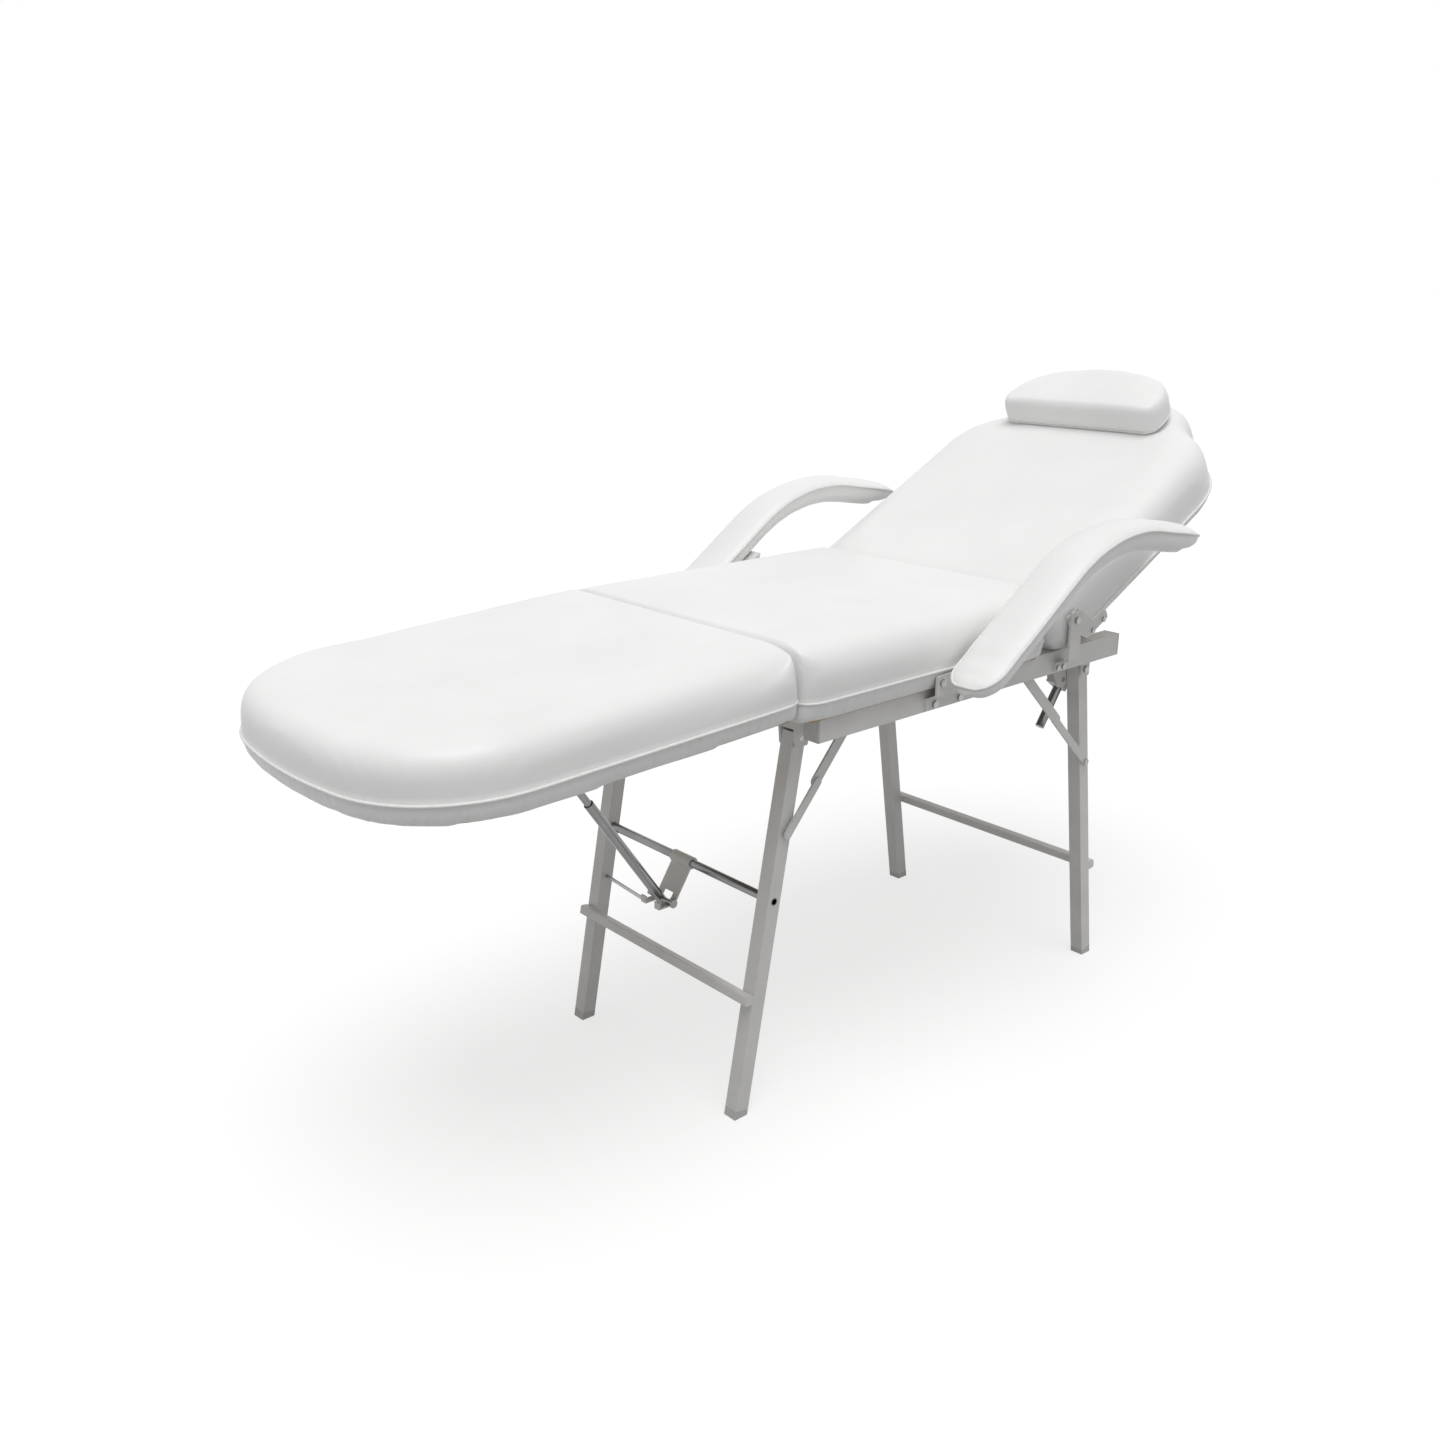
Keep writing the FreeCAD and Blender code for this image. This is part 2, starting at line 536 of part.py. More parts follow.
def make_legs(which):
    """A pair of square legs with lower crossbar and foot plugs cut level with the floor."""
    outward = -1 if which == "front" else 1
    frame = leg_frame(which)
    half = size("leg_side") / 2
    lean = math.radians(abs(leg_tilt(which)))
    reach = size(which + "_pivot_height") / math.cos(lean)
    length_to_end = reach - size("leg_end_gap")
    tube_length = length_to_end + size("leg_head")
    middle = size("leg_head") - tube_length / 2
    bore = "%s + 2 * %s" % (cell("pivot_diameter"), cell("running_gap"))
    caps = []
    floor = doc.addObject("Part::Box", which + "_floor_cut")
    span = 4 * reach
    floor.Length = floor.Width = span
    floor.Height = reach
    floor.Placement = Placement(Vector(-span / 2, -span / 2, -reach), Rotation())
    for side, sign in LEFT_AND_RIGHT:
        y = sign * size(which + "_leg_spacing") / 2
        name = "%s_leg_%s" % (which, side)
        pivot_hole = (Vector(0, 0, -middle), bore, ACROSS)
        holes = [pivot_hole]
        if which == "front":
            bar_level = Vector(0, 0, -size("round_bar_drop") - middle)
            holes.append((bar_level, cell("round_bar_diameter"), ACROSS))
        place = frame.multiply(placed(0, y, middle))
        tube = square_tube(name, cell("leg_side"), cell("leg_wall"), str(tube_length), place, holes)
        node(tube, name)
        lowest = -reach - half * math.tan(lean)
        head_height = -length_to_end - lowest
        head = box(name + "_plug_head", cell("leg_side"), cell("leg_side"), str(head_height),
                   Vector(0, y, -length_to_end - head_height / 2))
        inner_side = "%s - 2 * %s - 2 * %s" % (cell("leg_side"), cell("leg_wall"), cell("running_gap"))
        spigot = box(name + "_plug_spigot", inner_side, inner_side, cell("foot_plug_depth"),
                     Vector(0, y, -length_to_end + size("foot_plug_depth") / 2))
        blank = fused(name + "_plug_blank", [head, spigot])
        blank.Placement = frame
        caps.append(cut(name + "_plug", blank, [floor]))
    node(group(which + "_foot_caps", caps), which + "_foot_caps")
    bar_x = outward * (half + size("crossbar_side") / 2)
    bar_half = size("crossbar_side") / 2
    section = rounded([
        Vector(-bar_half, -bar_half, 0), Vector(bar_half, -bar_half, 0),
        Vector(bar_half, bar_half, 0), Vector(-bar_half, bar_half, 0)], size("crossbar_edge"))
    span = "%s + %s" % (cell(which + "_leg_spacing"), cell("leg_side"))
    bar_place = frame.multiply(placed(bar_x, 0, -size(which + "_bar_drop")))
    bar = plate(which + "_crossbar", section, span, bar_place)
    node(bar, which + "_crossbar")


def bolt(name, diameter, start, stop, x, z, head_side):
    """Pin along Y between two stations, with a flat head outside its last station."""
    length = abs(stop - start)
    shank = rod(name + "_shank", diameter, str(length), Vector(x, (start + stop) / 2, z), ACROSS)
    head_y = stop + head_side * size("bolt_head_height") / 2
    head = rod(name + "_head", cell("bolt_head"), cell("bolt_head_height"), Vector(x, head_y, z), ACROSS)
    return fused(name, [shank, head])


def back_strut_lines():
    """Bar direction, swivel pivot on the frame and pin on the back, as points in the XZ plane.

    Pivot and pin lie equally far from the back hinge, so the chord between them
    turns by exactly half the recline and the bar stays in line with its guide.
    """
    angle = math.radians(size("back_bar_angle"))
    along = Vector(math.cos(angle), 0, math.sin(angle))
    aside = Vector(-math.sin(angle), 0, math.cos(angle))
    hinge = Vector(back_hinge_x, 0, back_hinge_z)
    on_bar = Vector(size("back_bar_reach"), 0, size("back_bar_level"))
    on_chord = on_bar + aside * size("back_bar_offset")
    foot = on_chord + along * (hinge - on_chord).dot(along)
    half_chord = (hinge - foot).Length * math.tan(math.radians(size("back_bar_half_apex")))
    return along, aside, foot - along * half_chord, foot + along * half_chord


def make_leg_lugs():
    """Lugs under the frame that carry the leg pivots; the rear inner ones also carry the strut guides."""
    hole = size("pivot_diameter") / 2
    radius, thick, gap, edge = (size("lug_" + name) for name in ("radius", "thickness", "gap", "edge"))
    relief = size("lug_relief")
    half_leg = size("leg_side") / 2
    cross_low = rail_top - size("cross_drop") - size("cross_side")
    x, z = leg_pivot("front")
    bolts = []
    front_lugs = []
    half_cross = size("cross_side") / 2
    ear = rounded([
        Vector(-half_cross, cross_low - z, 0), Vector(-radius, -radius, 0),
        Vector(radius, -radius, 0), Vector(half_cross, cross_low - z, 0)], edge)
    for side, sign in LEFT_AND_RIGHT:
        centre_y = size("front_leg_spacing") / 2
        aside = half_leg + gap + thick / 2
        stations = (centre_y - aside, centre_y + aside)
        for spot, y in zip(("inner", "outer"), stations):
            name = "front_lug_%s_%s" % (spot, side)
            place = placed(x, sign * y, z)
            front_lugs.append(plate(name, ear, cell("lug_thickness"), place, [(0, 0, hole)]))
        inner, outer = stations[0] - thick / 2, stations[1] + thick / 2
        bolts.append(bolt("front_pivot_" + side, cell("pivot_diameter"), sign * outer, sign * inner,
                          x, z, -sign))
    node(group("front_leg_lugs", front_lugs), "front_leg_lugs")

    x, z = leg_pivot("rear")
    along, aside, guide_pivot, lug_pin = back_strut_lines()
    rear_lugs = []
    guide_pins = []
    cross_x = size("cross_rear_reach")
    inner_outline = rounded([
        Vector(cross_x - x, cross_low - z, 0),
        Vector(guide_pivot.x - radius - x, guide_pivot.z - radius - z, 0),
        Vector(guide_pivot.x + relief - x, guide_pivot.z - radius - z, 0),
        Vector(radius, -radius + relief, 0), Vector(radius, radius, 0),
        Vector(cross_x + size("cross_side") - x, cross_low - z, 0)], edge)
    web_low = rail_top - size("rail_wall")
    outer_outline = rounded([
        Vector(-radius, web_low - z, 0), Vector(-radius, -radius, 0),
        Vector(radius, -radius, 0), Vector(radius, web_low - z, 0)], edge)
    pin_hole = size("guide_pin_diameter") / 2
    for side, sign in LEFT_AND_RIGHT:
        centre_y = size("rear_leg_spacing") / 2
        inner_y = centre_y - half_leg - gap - thick / 2
        outer_y = centre_y + half_leg + gap + thick / 2
        holes = [(0, 0, hole), (guide_pivot.x - x, guide_pivot.z - z, pin_hole)]
        rear_lugs.append(plate("rear_lug_inner_" + side, inner_outline, cell("lug_thickness"),
                               placed(x, sign * inner_y, z), holes))
        rear_lugs.append(plate("rear_lug_outer_" + side, outer_outline, cell("lug_thickness"),
                               placed(x, sign * outer_y, z), [(0, 0, hole)]))
        bolts.append(bolt("rear_pivot_" + side, cell("pivot_diameter"), sign * (inner_y - thick / 2),
                          sign * (outer_y + thick / 2), x, z, sign))
        bar_y = size("back_bar_spacing") / 2
        pin_end = bar_y - size("guide_width") / 2 - size("ear_gap")
        guide_pins.append(bolt("guide_pin_" + side, cell("guide_pin_diameter"), sign * (inner_y + thick / 2),
                               sign * pin_end, guide_pivot.x, guide_pivot.z, -sign))
    node(group("rear_leg_lugs", rear_lugs), "rear_leg_lugs")
    node(group("leg_pivot_bolts", bolts), "leg_pivot_bolts")
    node(group("guide_pins", guide_pins), "guide_pins")


def hook_outline(bar_axis, pin, shelf_top, shelf_end):
    """Bent sheet seen from the side: ring round the bar, straight back, shelf under the pin, lip."""
    thick = size("hook_sheet")
    half = thick / 2
    ring = size("round_bar_diameter") / 2 + thick
    centre = Vector(bar_axis.x, bar_axis.z, 0)
    deep = pin.x + size("strut_pin_diameter") / 2 + size("hook_slack")
    down = (Vector(deep + half, shelf_top - half, 0) - centre).normalize()
    aside = Vector(down.y, -down.x, 0)
    leave = down * math.sqrt(ring ** 2 - half ** 2)
    inner_top, outer_top = centre + leave + aside * half, centre + leave - aside * half
    inner = inner_top + down * ((shelf_top - inner_top.y) / down.y)
    outer = outer_top + down * ((shelf_top - thick - outer_top.y) / down.y)
    lip_top = shelf_top + size("hook_lip")
    corners = [
        inner_top, inner, Vector(shelf_end + thick, shelf_top, 0), Vector(shelf_end + thick, lip_top, 0),
        Vector(shelf_end, lip_top, 0), Vector(shelf_end, shelf_top - thick, 0), outer, outer_top,
    ]
    edges = [Part.LineSegment(a, b) for a, b in zip(corners, corners[1:])]
    edges.append(Part.Arc(outer_top, centre - down * ring, inner_top))
    return edges


def make_front_leg_fittings():
    """Round upper bar, sheet hook hung on it, and the thin rod that steadies the hook."""
    frame = leg_frame("front")
    inner_face = (size("front_leg_spacing") - size("leg_side")) / 2
    bar_length = "%s + %s" % (cell("front_leg_spacing"), cell("leg_side"))
    level = Vector(0, 0, -size("round_bar_drop"))
    skin = rod("round_bar_skin", cell("round_bar_diameter"), bar_length, level, ACROSS)
    bore = rod("round_bar_bore", "%s - 2 * %s" % (cell("round_bar_diameter"), cell("round_bar_wall")),
               bar_length, level, ACROSS)
    bar = cut("round_bar", skin, [bore])
    bar.Placement = frame
    node(bar, "round_bar")

    bar_axis = frame.multVec(level)
    pin = Vector(-size("strut_hook_reach"), 0, size("strut_hook_height"))
    shelf_top = pin.z - size("strut_pin_diameter") / 2 - size("hook_seat_gap")
    shelf_end = pin.x - size("hook_shelf")
    thick = size("hook_sheet")
    outline = hook_outline(bar_axis, pin, shelf_top, shelf_end)
    bent = plate("hook_bent", outline, cell("hook_width"), placed(0, 0, 0),
                 [(bar_axis.x, bar_axis.z, size("round_bar_diameter") / 2)])
    notch_width = "%s + 2 * %s" % (cell("strut_tube_diameter"), cell("hook_notch_gap"))
    notch_low = shelf_top - 2 * thick
    notch_height = pin.z + size("hook_notch_rise") - notch_low
    notch = box("hook_notch", "4 * " + cell("hook_shelf"), notch_width, str(notch_height),
                Vector(pin.x, 0, notch_low + notch_height / 2))
    node(cut("strut_hook", bent, [notch]), "strut_hook")

    half_hook = size("hook_width") / 2
    on_leg = frame.multVec(Vector(0, inner_face, -size("stay_rod_drop")))
    on_hook = Vector(shelf_end + 2 * thick, half_hook, shelf_top - thick / 2)
    way = on_leg - on_hook
    middle = (on_leg + on_hook) * 0.5
    rod_length = str(STAY_ROD_EXCESS * way.Length)
    long_rod = rod("stay_rod_long", cell("stay_rod_diameter"), rod_length, middle, way)
    span = str(inner_face - half_hook)
    between = box("stay_rod_span", span, span, span, middle)
    node(common("hook_stay_rod", long_rod, between), "hook_stay_rod")


def make_brace(which):
    """Two flat links per side that lie in line when the leg stands; returns their studs on the rails."""
    frame = leg_frame(which)
    on_leg = frame.multVec(Vector(0, 0, -size(which + "_brace_leg")))
    stud = Vector(-size(which + "_brace_reach"), 0, size("brace_stud_height"))
    way = stud - on_leg
    angle = math.degrees(math.atan2(way.z, way.x))
    lower_length = size("front_brace_lower") if which == "front" else REAR_BRACE_SHARE * way.Length
    upper_length = way.Length - lower_length
    thick, gap = size("brace_thickness"), size("brace_gap")
    face = size(which + "_leg_spacing") / 2 + size("leg_side") / 2
    near = face + gap + thick / 2
    far = near + thick + gap
    lower_y, upper_y = (far, near) if which == "front" else (near, far)
    hole = size("pivot_diameter") / 2 + size("running_gap")
    lower_link = stadium(lower_length, size("brace_width") / 2)
    upper_link = stadium(upper_length, size("brace_upper_width") / 2)
    studs, rivets, lowers, uppers = [], [], [], []
    for side, sign in LEFT_AND_RIGHT:
        place = placed(on_leg.x, sign * lower_y, on_leg.z, -angle)
        lowers.append(plate("%s_brace_lower_%s" % (which, side), lower_link, cell("brace_thickness"),
                            place, [(0, 0, hole)]))
        place = placed(stud.x, sign * upper_y, stud.z, 180 - angle)
        uppers.append(plate("%s_brace_upper_%s" % (which, side), upper_link, cell("brace_thickness"),
                            place, [(0, 0, hole)]))
        if which == "front":
            ends = (rail_inner, face + gap)
            rivet_end = far + thick / 2
        else:
            ends = (rail_outer - size("rail_wall"), rail_inner + size("rail_wall"))
            rivet_end = near + thick / 2
        middle = sign * (ends[0] + ends[1]) / 2
        studs.append(rod("%s_stud_%s" % (which, side), cell("pivot_diameter"), str(abs(ends[0] - ends[1])),
                         Vector(stud.x, middle, stud.z), ACROSS))
        pin = rod("%s_rivet_pin_%s" % (which, side), cell("pivot_diameter"), str(rivet_end - face),
                  Vector(on_leg.x, sign * (face + rivet_end) / 2, on_leg.z), ACROSS)
        if which == "rear":
            head_y = sign * (rivet_end + size("rivet_head_height") / 2)
            head = rod("%s_rivet_head_%s" % (which, side), cell("bolt_head"), cell("rivet_head_height"),
                       Vector(on_leg.x, head_y, on_leg.z), ACROSS)
            pin = fused("%s_rivet_%s" % (which, side), [pin, head])
        rivets.append(pin)
    node(group(which + "_brace_lower_links", lowers), which + "_brace_lower_links")
    node(group(which + "_brace_upper_links", uppers), which + "_brace_upper_links")
    node(group(which + "_brace_rivets", rivets), which + "_brace_rivets")
    return studs


def make_braces():
    """Knee braces of both pairs of legs."""
    node(group("brace_studs", make_brace("front") + make_brace("rear")), "brace_studs")


def ears(name, x, z, y, drop, tilt_place, eye_width, pin_diameter):
    """Two ears and a foot plate that hold a cross pin under a board, in the board's own frame."""
    thick, gap = size("ear_thickness"), size("ear_gap")
    radius = size("eye_radius")
    half_foot = size("ear_foot") / 2
    outline = rounded([
        Vector(-half_foot, drop - thick, 0), Vector(-radius, -radius, 0),
        Vector(radius, -radius, 0), Vector(half_foot, drop - thick, 0)], size("ear_edge"))
    pieces = []
    for spot, sign in (("a", 1), ("b", -1)):
        ear_y = y + sign * (eye_width / 2 + gap + thick / 2)
        ear = plate("%s_ear_%s" % (name, spot), outline, cell("ear_thickness"),
                    tilt_place.multiply(placed(x, ear_y, z)), [(0, 0, pin_diameter / 2)])
        pieces.append(ear)
    foot_width = eye_width + 2 * gap + 4 * thick
    foot = box(name + "_foot", cell("lug_foot_length"), str(foot_width), cell("ear_thickness"),
               Vector(x, y, z + drop - thick / 2))
    foot.Placement = tilt_place.multiply(foot.Placement)
    pieces.append(foot)
    pin_length = eye_width + 2 * gap + 2 * thick
    pin = rod(name + "_pin", str(pin_diameter), str(pin_length), Vector(x, y, z), ACROSS)
    pin.Placement = tilt_place.multiply(pin.Placement)
    return fused(name, pieces), pin


def make_foot_strut():
    """Telescoping strut: rod pinned under the foot board, tube with a cross pin in the hook."""
    lug_x, lug_z = -size("foot_lug_reach"), -size("foot_lug_drop")
    eye_width = size("eye_thickness")
    pin_diameter = size("strut_pin_diameter")
    lug, pin = ears("foot_lug", lug_x, lug_z, 0.0, foot_under - lug_z, foot_place, eye_width, pin_diameter)
    node(group("foot_strut_lug", [lug, pin]), "foot_strut_lug")
    top = foot_place.multVec(Vector(lug_x, 0, lug_z))
    hook = Vector(-size("strut_hook_reach"), 0, size("strut_hook_height"))
    along = (hook - top).normalize()
    tilt = math.degrees(math.atan2(along.x, along.z))
    frame = placed(top.x, 0, top.z, tilt)
    reach = (hook - top).Length
    shank = rod("strut_rod_shank", cell("strut_rod_diameter"), cell("strut_rod_length"),
                Vector(0, 0, size("eye_neck") + size("strut_rod_length") / 2), Vector(0, 0, 1))
    neck_length = size("eye_neck") + size("neck_overlap")
    neck = box("strut_rod_neck", cell("strut_rod_diameter"), cell("eye_thickness"), str(neck_length),
               Vector(0, 0, neck_length / 2))
    eye = rod("strut_rod_eye", "2 * " + cell("eye_radius"), cell("eye_thickness"), Vector(), ACROSS)
    bore = rod("strut_rod_bore", "%s + 2 * %s" % (cell("strut_pin_diameter"), cell("running_gap")),
               cell("strut_rod_length"), Vector(), ACROSS)
    rod_piece = cut("foot_strut_rod", fused("strut_rod_blank", [shank, neck, eye]), [bore])
    rod_piece.Placement = frame
    node(rod_piece, "foot_strut_rod")
    tail = pin_diameter + size("strut_tube_end")
    start = reach + tail - size("strut_tube_length")
    middle = Vector(0, 0, start + size("strut_tube_length") / 2)
    skin = rod("strut_tube_skin", cell("strut_tube_diameter"), cell("strut_tube_length"), middle,
               Vector(0, 0, 1))
    bore = rod("strut_tube_bore", "%s + 2 * %s" % (cell("strut_rod_diameter"), cell("running_gap")),
               cell("strut_tube_length"), middle, Vector(0, 0, 1))
    cross_level = Vector(0, 0, reach)
    cross = rod("strut_tube_cross", cell("strut_pin_diameter"), cell("strut_tube_length"), cross_level,
                ACROSS)
    tube = cut("foot_strut_tube", skin, [bore, cross])
    tube.Placement = frame
    node(tube, "foot_strut_tube")
    pin_length = size("hook_width") + 2 * size("strut_pin_overhang")
    cross_pin = rod("strut_cross_pin_shank", cell("strut_pin_diameter"), str(pin_length), cross_level, ACROSS)
    knob = rod("strut_cross_pin_knob", cell("knob_diameter"), cell("knob_length"),
               Vector(0, -pin_length / 2 - size("knob_length") / 2, reach), ACROSS)
    held = fused("strut_cross_pin", [cross_pin, knob])
    held.Placement = frame
    node(held, "strut_cross_pin")


def make_back_struts():
    """Ratchet bars pinned under the back, each sliding through a guide that swivels on the frame."""
    along, aside, guide_pivot, lug_pin = back_strut_lines()
    tilt = 90.0 - size("back_bar_angle")
    offset = size("back_bar_offset")
    spacing = size("back_bar_spacing") / 2
    reach = (lug_pin - guide_pivot).Length
    radius = size("eye_radius")
    pin_diameter = size("guide_pin_diameter")
    in_back = back_place.inverse().multVec(lug_pin)
    drop = -nose_radius - in_back.z
    lugs, bars, guides = [], [], []
    bore = "%s + 2 * %s" % (cell("back_bar_diameter"), cell("running_gap"))
    pin_bore = "%s + 2 * %s" % (cell("guide_pin_diameter"), cell("running_gap"))
    wall = size("guide_wall")
    for side, sign in LEFT_AND_RIGHT:
        y = sign * spacing
        lug, pin = ears("back_lug_" + side, in_back.x, in_back.z, y, drop, back_place,
                        size("eye_thickness"), pin_diameter)
        lugs += [lug, pin]
        top = placed(lug_pin.x, y, lug_pin.z, tilt)
        bar_top = -radius - size("back_bar_top_gap")
        bar_length = reach + size("back_bar_tail") + bar_top
        bar = rod("back_bar_round_" + side, cell("back_bar_diameter"), str(bar_length),
                  Vector(offset, 0, bar_top - bar_length / 2), Vector(0, 0, 1))
        arm = box("back_bar_arm_" + side, str(offset), cell("eye_thickness"), cell("back_bar_arm"),
                  Vector(offset / 2, 0, size("back_bar_arm_rise") - size("back_bar_arm") / 2))
        eye = rod("back_bar_eye_" + side, "2 * " + cell("eye_radius"), cell("eye_thickness"), Vector(),
                  ACROSS)
        hole = rod("back_bar_hole_" + side, pin_bore, "2 * " + cell("eye_thickness"), Vector(), ACROSS)
        piece = cut("back_strut_bar_" + side, fused("back_bar_blank_" + side, [bar, arm, eye]), [hole])
        piece.Placement = top
        bars.append(piece)
        seat = placed(guide_pivot.x, y, guide_pivot.z, tilt)
        near = -pin_diameter / 2 - wall
        far = offset + size("back_bar_diameter") / 2 + wall
        block = box("guide_block_" + side, str(far - near), cell("guide_width"), cell("guide_length"),
                    Vector((far + near) / 2, 0, 0))
        bar_hole = rod("guide_bar_hole_" + side, bore, "2 * " + cell("guide_length"),
                       Vector(offset, 0, 0), Vector(0, 0, 1))
        pin_hole = rod("guide_pin_hole_" + side, pin_bore, "2 * " + cell("guide_width"), Vector(), ACROSS)
        guide = cut("strut_guide_" + side, block, [bar_hole, pin_hole])
        guide.Placement = seat
        guides.append(guide)
    node(group("back_strut_lugs", lugs), "back_strut_lugs")
    node(group("back_strut_bars", bars), "back_strut_bars")
    node(group("back_strut_guides", guides), "back_strut_guides")


def make_back_hinge():
    """Side plates screwed to the back board, turning on pins held by joggled brackets on the rails."""
    thick, gap, boss = size("hinge_plate"), size("hinge_plate_gap"), size("hinge_boss")
    length, hole = size("hinge_plate_length"), size("hinge_pin_diameter") / 2
    low = -nose_radius + size("hinge_plate_lift")
    high = -nose_radius + size("board_thickness")
    arm = rounded([
        Vector(-boss, boss, 0), Vector(-boss, -boss, 0), Vector(size("hinge_heel"), low, 0),
        Vector(length, low, 0), Vector(length, high + size("hinge_end_rise"), 0),
        Vector(length - size("hinge_shoulder_set"), high + size("hinge_shoulder_rise"), 0),
        Vector(boss, boss, 0)], size("hinge_plate_edge"))
    plate_y = half_pad + gap + thick / 2
    bracket_y = plate_y + thick + gap
    lower = rail_bottom + size("bracket_foot_rise")
    knee = rail_bottom + size("bracket_knee_rise")
    bend = knee - size("joggle_rise")
    last_screw = length - size("hinge_screw_set")
    pins, screws, bolts = [], [], []
    screw_level = -nose_radius + size("board_thickness") / 2
    for side, sign in LEFT_AND_RIGHT:
        side_plate = plate("back_hinge_plate_" + side, arm, cell("hinge_plate"),
                           back_place.multiply(placed(0, sign * plate_y, 0)),
                           [(0, 0, hole + size("running_gap"))])
        node(side_plate, "back_hinge_plate_" + side)
        profile = [
            Vector(sign * rail_outer, lower, 0), Vector(sign * (rail_outer + thick), lower, 0),
            Vector(sign * (rail_outer + thick), bend, 0), Vector(sign * (bracket_y + thick / 2), knee, 0),
            Vector(sign * (bracket_y + thick / 2), back_hinge_z + boss, 0),
            Vector(sign * (bracket_y - thick / 2), back_hinge_z + boss, 0),
            Vector(sign * (bracket_y - thick / 2), knee + size("bracket_inner_high"), 0),
            Vector(sign * rail_outer, knee - size("joggle_inner_low"), 0),
        ]
        blank = plate("hinge_bracket_blank_" + side, lines(profile), cell("hinge_bracket_width"),
                      placed(back_hinge_x, 0, 0), plane="YZ_Plane")
        bore = rod("hinge_bracket_bore_" + side, cell("hinge_pin_diameter"), "4 * " + cell("hinge_plate"),
                   Vector(back_hinge_x, sign * bracket_y, back_hinge_z), ACROSS)
        node(cut("back_hinge_bracket_" + side, blank, [bore]), "back_hinge_bracket_" + side)
        pins.append(bolt("back_hinge_pin_" + side, cell("hinge_pin_diameter"), sign * (plate_y - thick / 2),
                         sign * (bracket_y + thick / 2), back_hinge_x, back_hinge_z, sign))
        proud = thick + size("screw_head_height") / 2
        for index, x in enumerate((last_screw - size("hinge_screw_pitch"), last_screw)):
            centre = Vector(x, sign * (plate_y - thick / 2 + proud), screw_level)
            head = rod("hinge_screw_%s_%d" % (side, index), cell("screw_head"), cell("screw_head_height"),
                       centre, ACROSS)
            head.Placement = back_place.multiply(head.Placement)
            screws.append(head)
        for index, share in enumerate((-0.5, 0.5)):
            x = back_hinge_x + share * size("bracket_bolt_pitch")
            centre = Vector(x, sign * (rail_outer + proud), (lower + bend) / 2)
            bolts.append(rod("bracket_bolt_%s_%d" % (side, index), cell("screw_head"),
                             cell("screw_head_height"), centre, ACROSS))
    node(group("back_hinge_pins", pins), "back_hinge_pins")
    node(group("back_hinge_screws", screws), "back_hinge_screws")
    return bolts


def make_foot_hinge():
    """Butt hinges under the crease: seat leaves, foot leaves on a batten, and their rods."""
    knuckle = size("knuckle_diameter") / 2
    batten_height = foot_under - (rail_top - foot_hinge_z)
    batten = box("foot_batten", cell("batten_width"), cell("batten_length"), str(batten_height),
                 Vector(-2 * size("pad_gap") - size("batten_width") / 2, 0, foot_under - batten_height / 2))
    batten.Placement = foot_place.multiply(batten.Placement)
    node(batten, "foot_batten")
    third = size("leaf_width") / 3
    seat_leaves, foot_leaves, rods = [], [], []
    leaf_top = rail_top - foot_hinge_z
    thick = size("leaf_thickness")
    curl_width = str(third - size("knuckle_gap"))
    leaf_middle = knuckle + size("leaf_gap") + size("leaf_length") / 2
    tab_length = knuckle + size("leaf_tab")
    for side, sign in LEFT_AND_RIGHT:
        y = sign * size("foot_hinge_spacing") / 2
        rods.append(rod("foot_hinge_rod_" + side, cell("hinge_rod_diameter"), cell("leaf_width"),
                        Vector(foot_hinge_x, y, foot_hinge_z), ACROSS))
        leaf = box("seat_leaf_plate_" + side, cell("leaf_length"), cell("leaf_width"), cell("leaf_thickness"),
                   Vector(foot_hinge_x + leaf_middle, y, rail_top - thick / 2))
        parts = [leaf]
        for spot, shift in (("a", third), ("b", -third)):
            tab = box("seat_leaf_tab_%s_%s" % (side, spot), str(tab_length), curl_width,
                      cell("leaf_thickness"),
                      Vector(foot_hinge_x + tab_length / 2, y + shift, rail_top - thick / 2))
            curl = rod("seat_leaf_curl_%s_%s" % (side, spot), cell("knuckle_diameter"), curl_width,
                       Vector(foot_hinge_x, y + shift, foot_hinge_z), ACROSS)
            parts += [tab, curl]
        bore = rod("seat_leaf_bore_" + side, cell("hinge_rod_diameter"), "2 * " + cell("leaf_width"),
                   Vector(foot_hinge_x, y, foot_hinge_z), ACROSS)
        seat_leaves.append(cut("seat_leaf_" + side, fused("seat_leaf_blank_" + side, parts), [bore]))
        leaf = box("foot_leaf_plate_" + side, cell("leaf_length"), cell("leaf_width"), cell("leaf_thickness"),
                   Vector(-leaf_middle, y, leaf_top - thick / 2))
        tab = box("foot_leaf_tab_" + side, str(tab_length), curl_width, cell("leaf_thickness"),
                  Vector(-tab_length / 2, y, leaf_top - thick / 2))
        curl = rod("foot_leaf_curl_" + side, cell("knuckle_diameter"), curl_width, Vector(0, y, 0), ACROSS)
        loose = "%s + 2 * %s" % (cell("hinge_rod_diameter"), cell("running_gap"))
        bore = rod("foot_leaf_bore_" + side, loose, "2 * " + cell("leaf_width"), Vector(0, y, 0), ACROSS)
        piece = cut("foot_leaf_" + side, fused("foot_leaf_blank_" + side, [leaf, tab, curl]), [bore])
        piece.Placement = foot_place
        foot_leaves.append(piece)
    node(group("foot_hinge_seat_leaves", seat_leaves), "foot_hinge_seat_leaves")
    node(group("foot_hinge_foot_leaves", foot_leaves), "foot_hinge_foot_leaves")
    node(group("foot_hinge_rods", rods), "foot_hinge_rods")


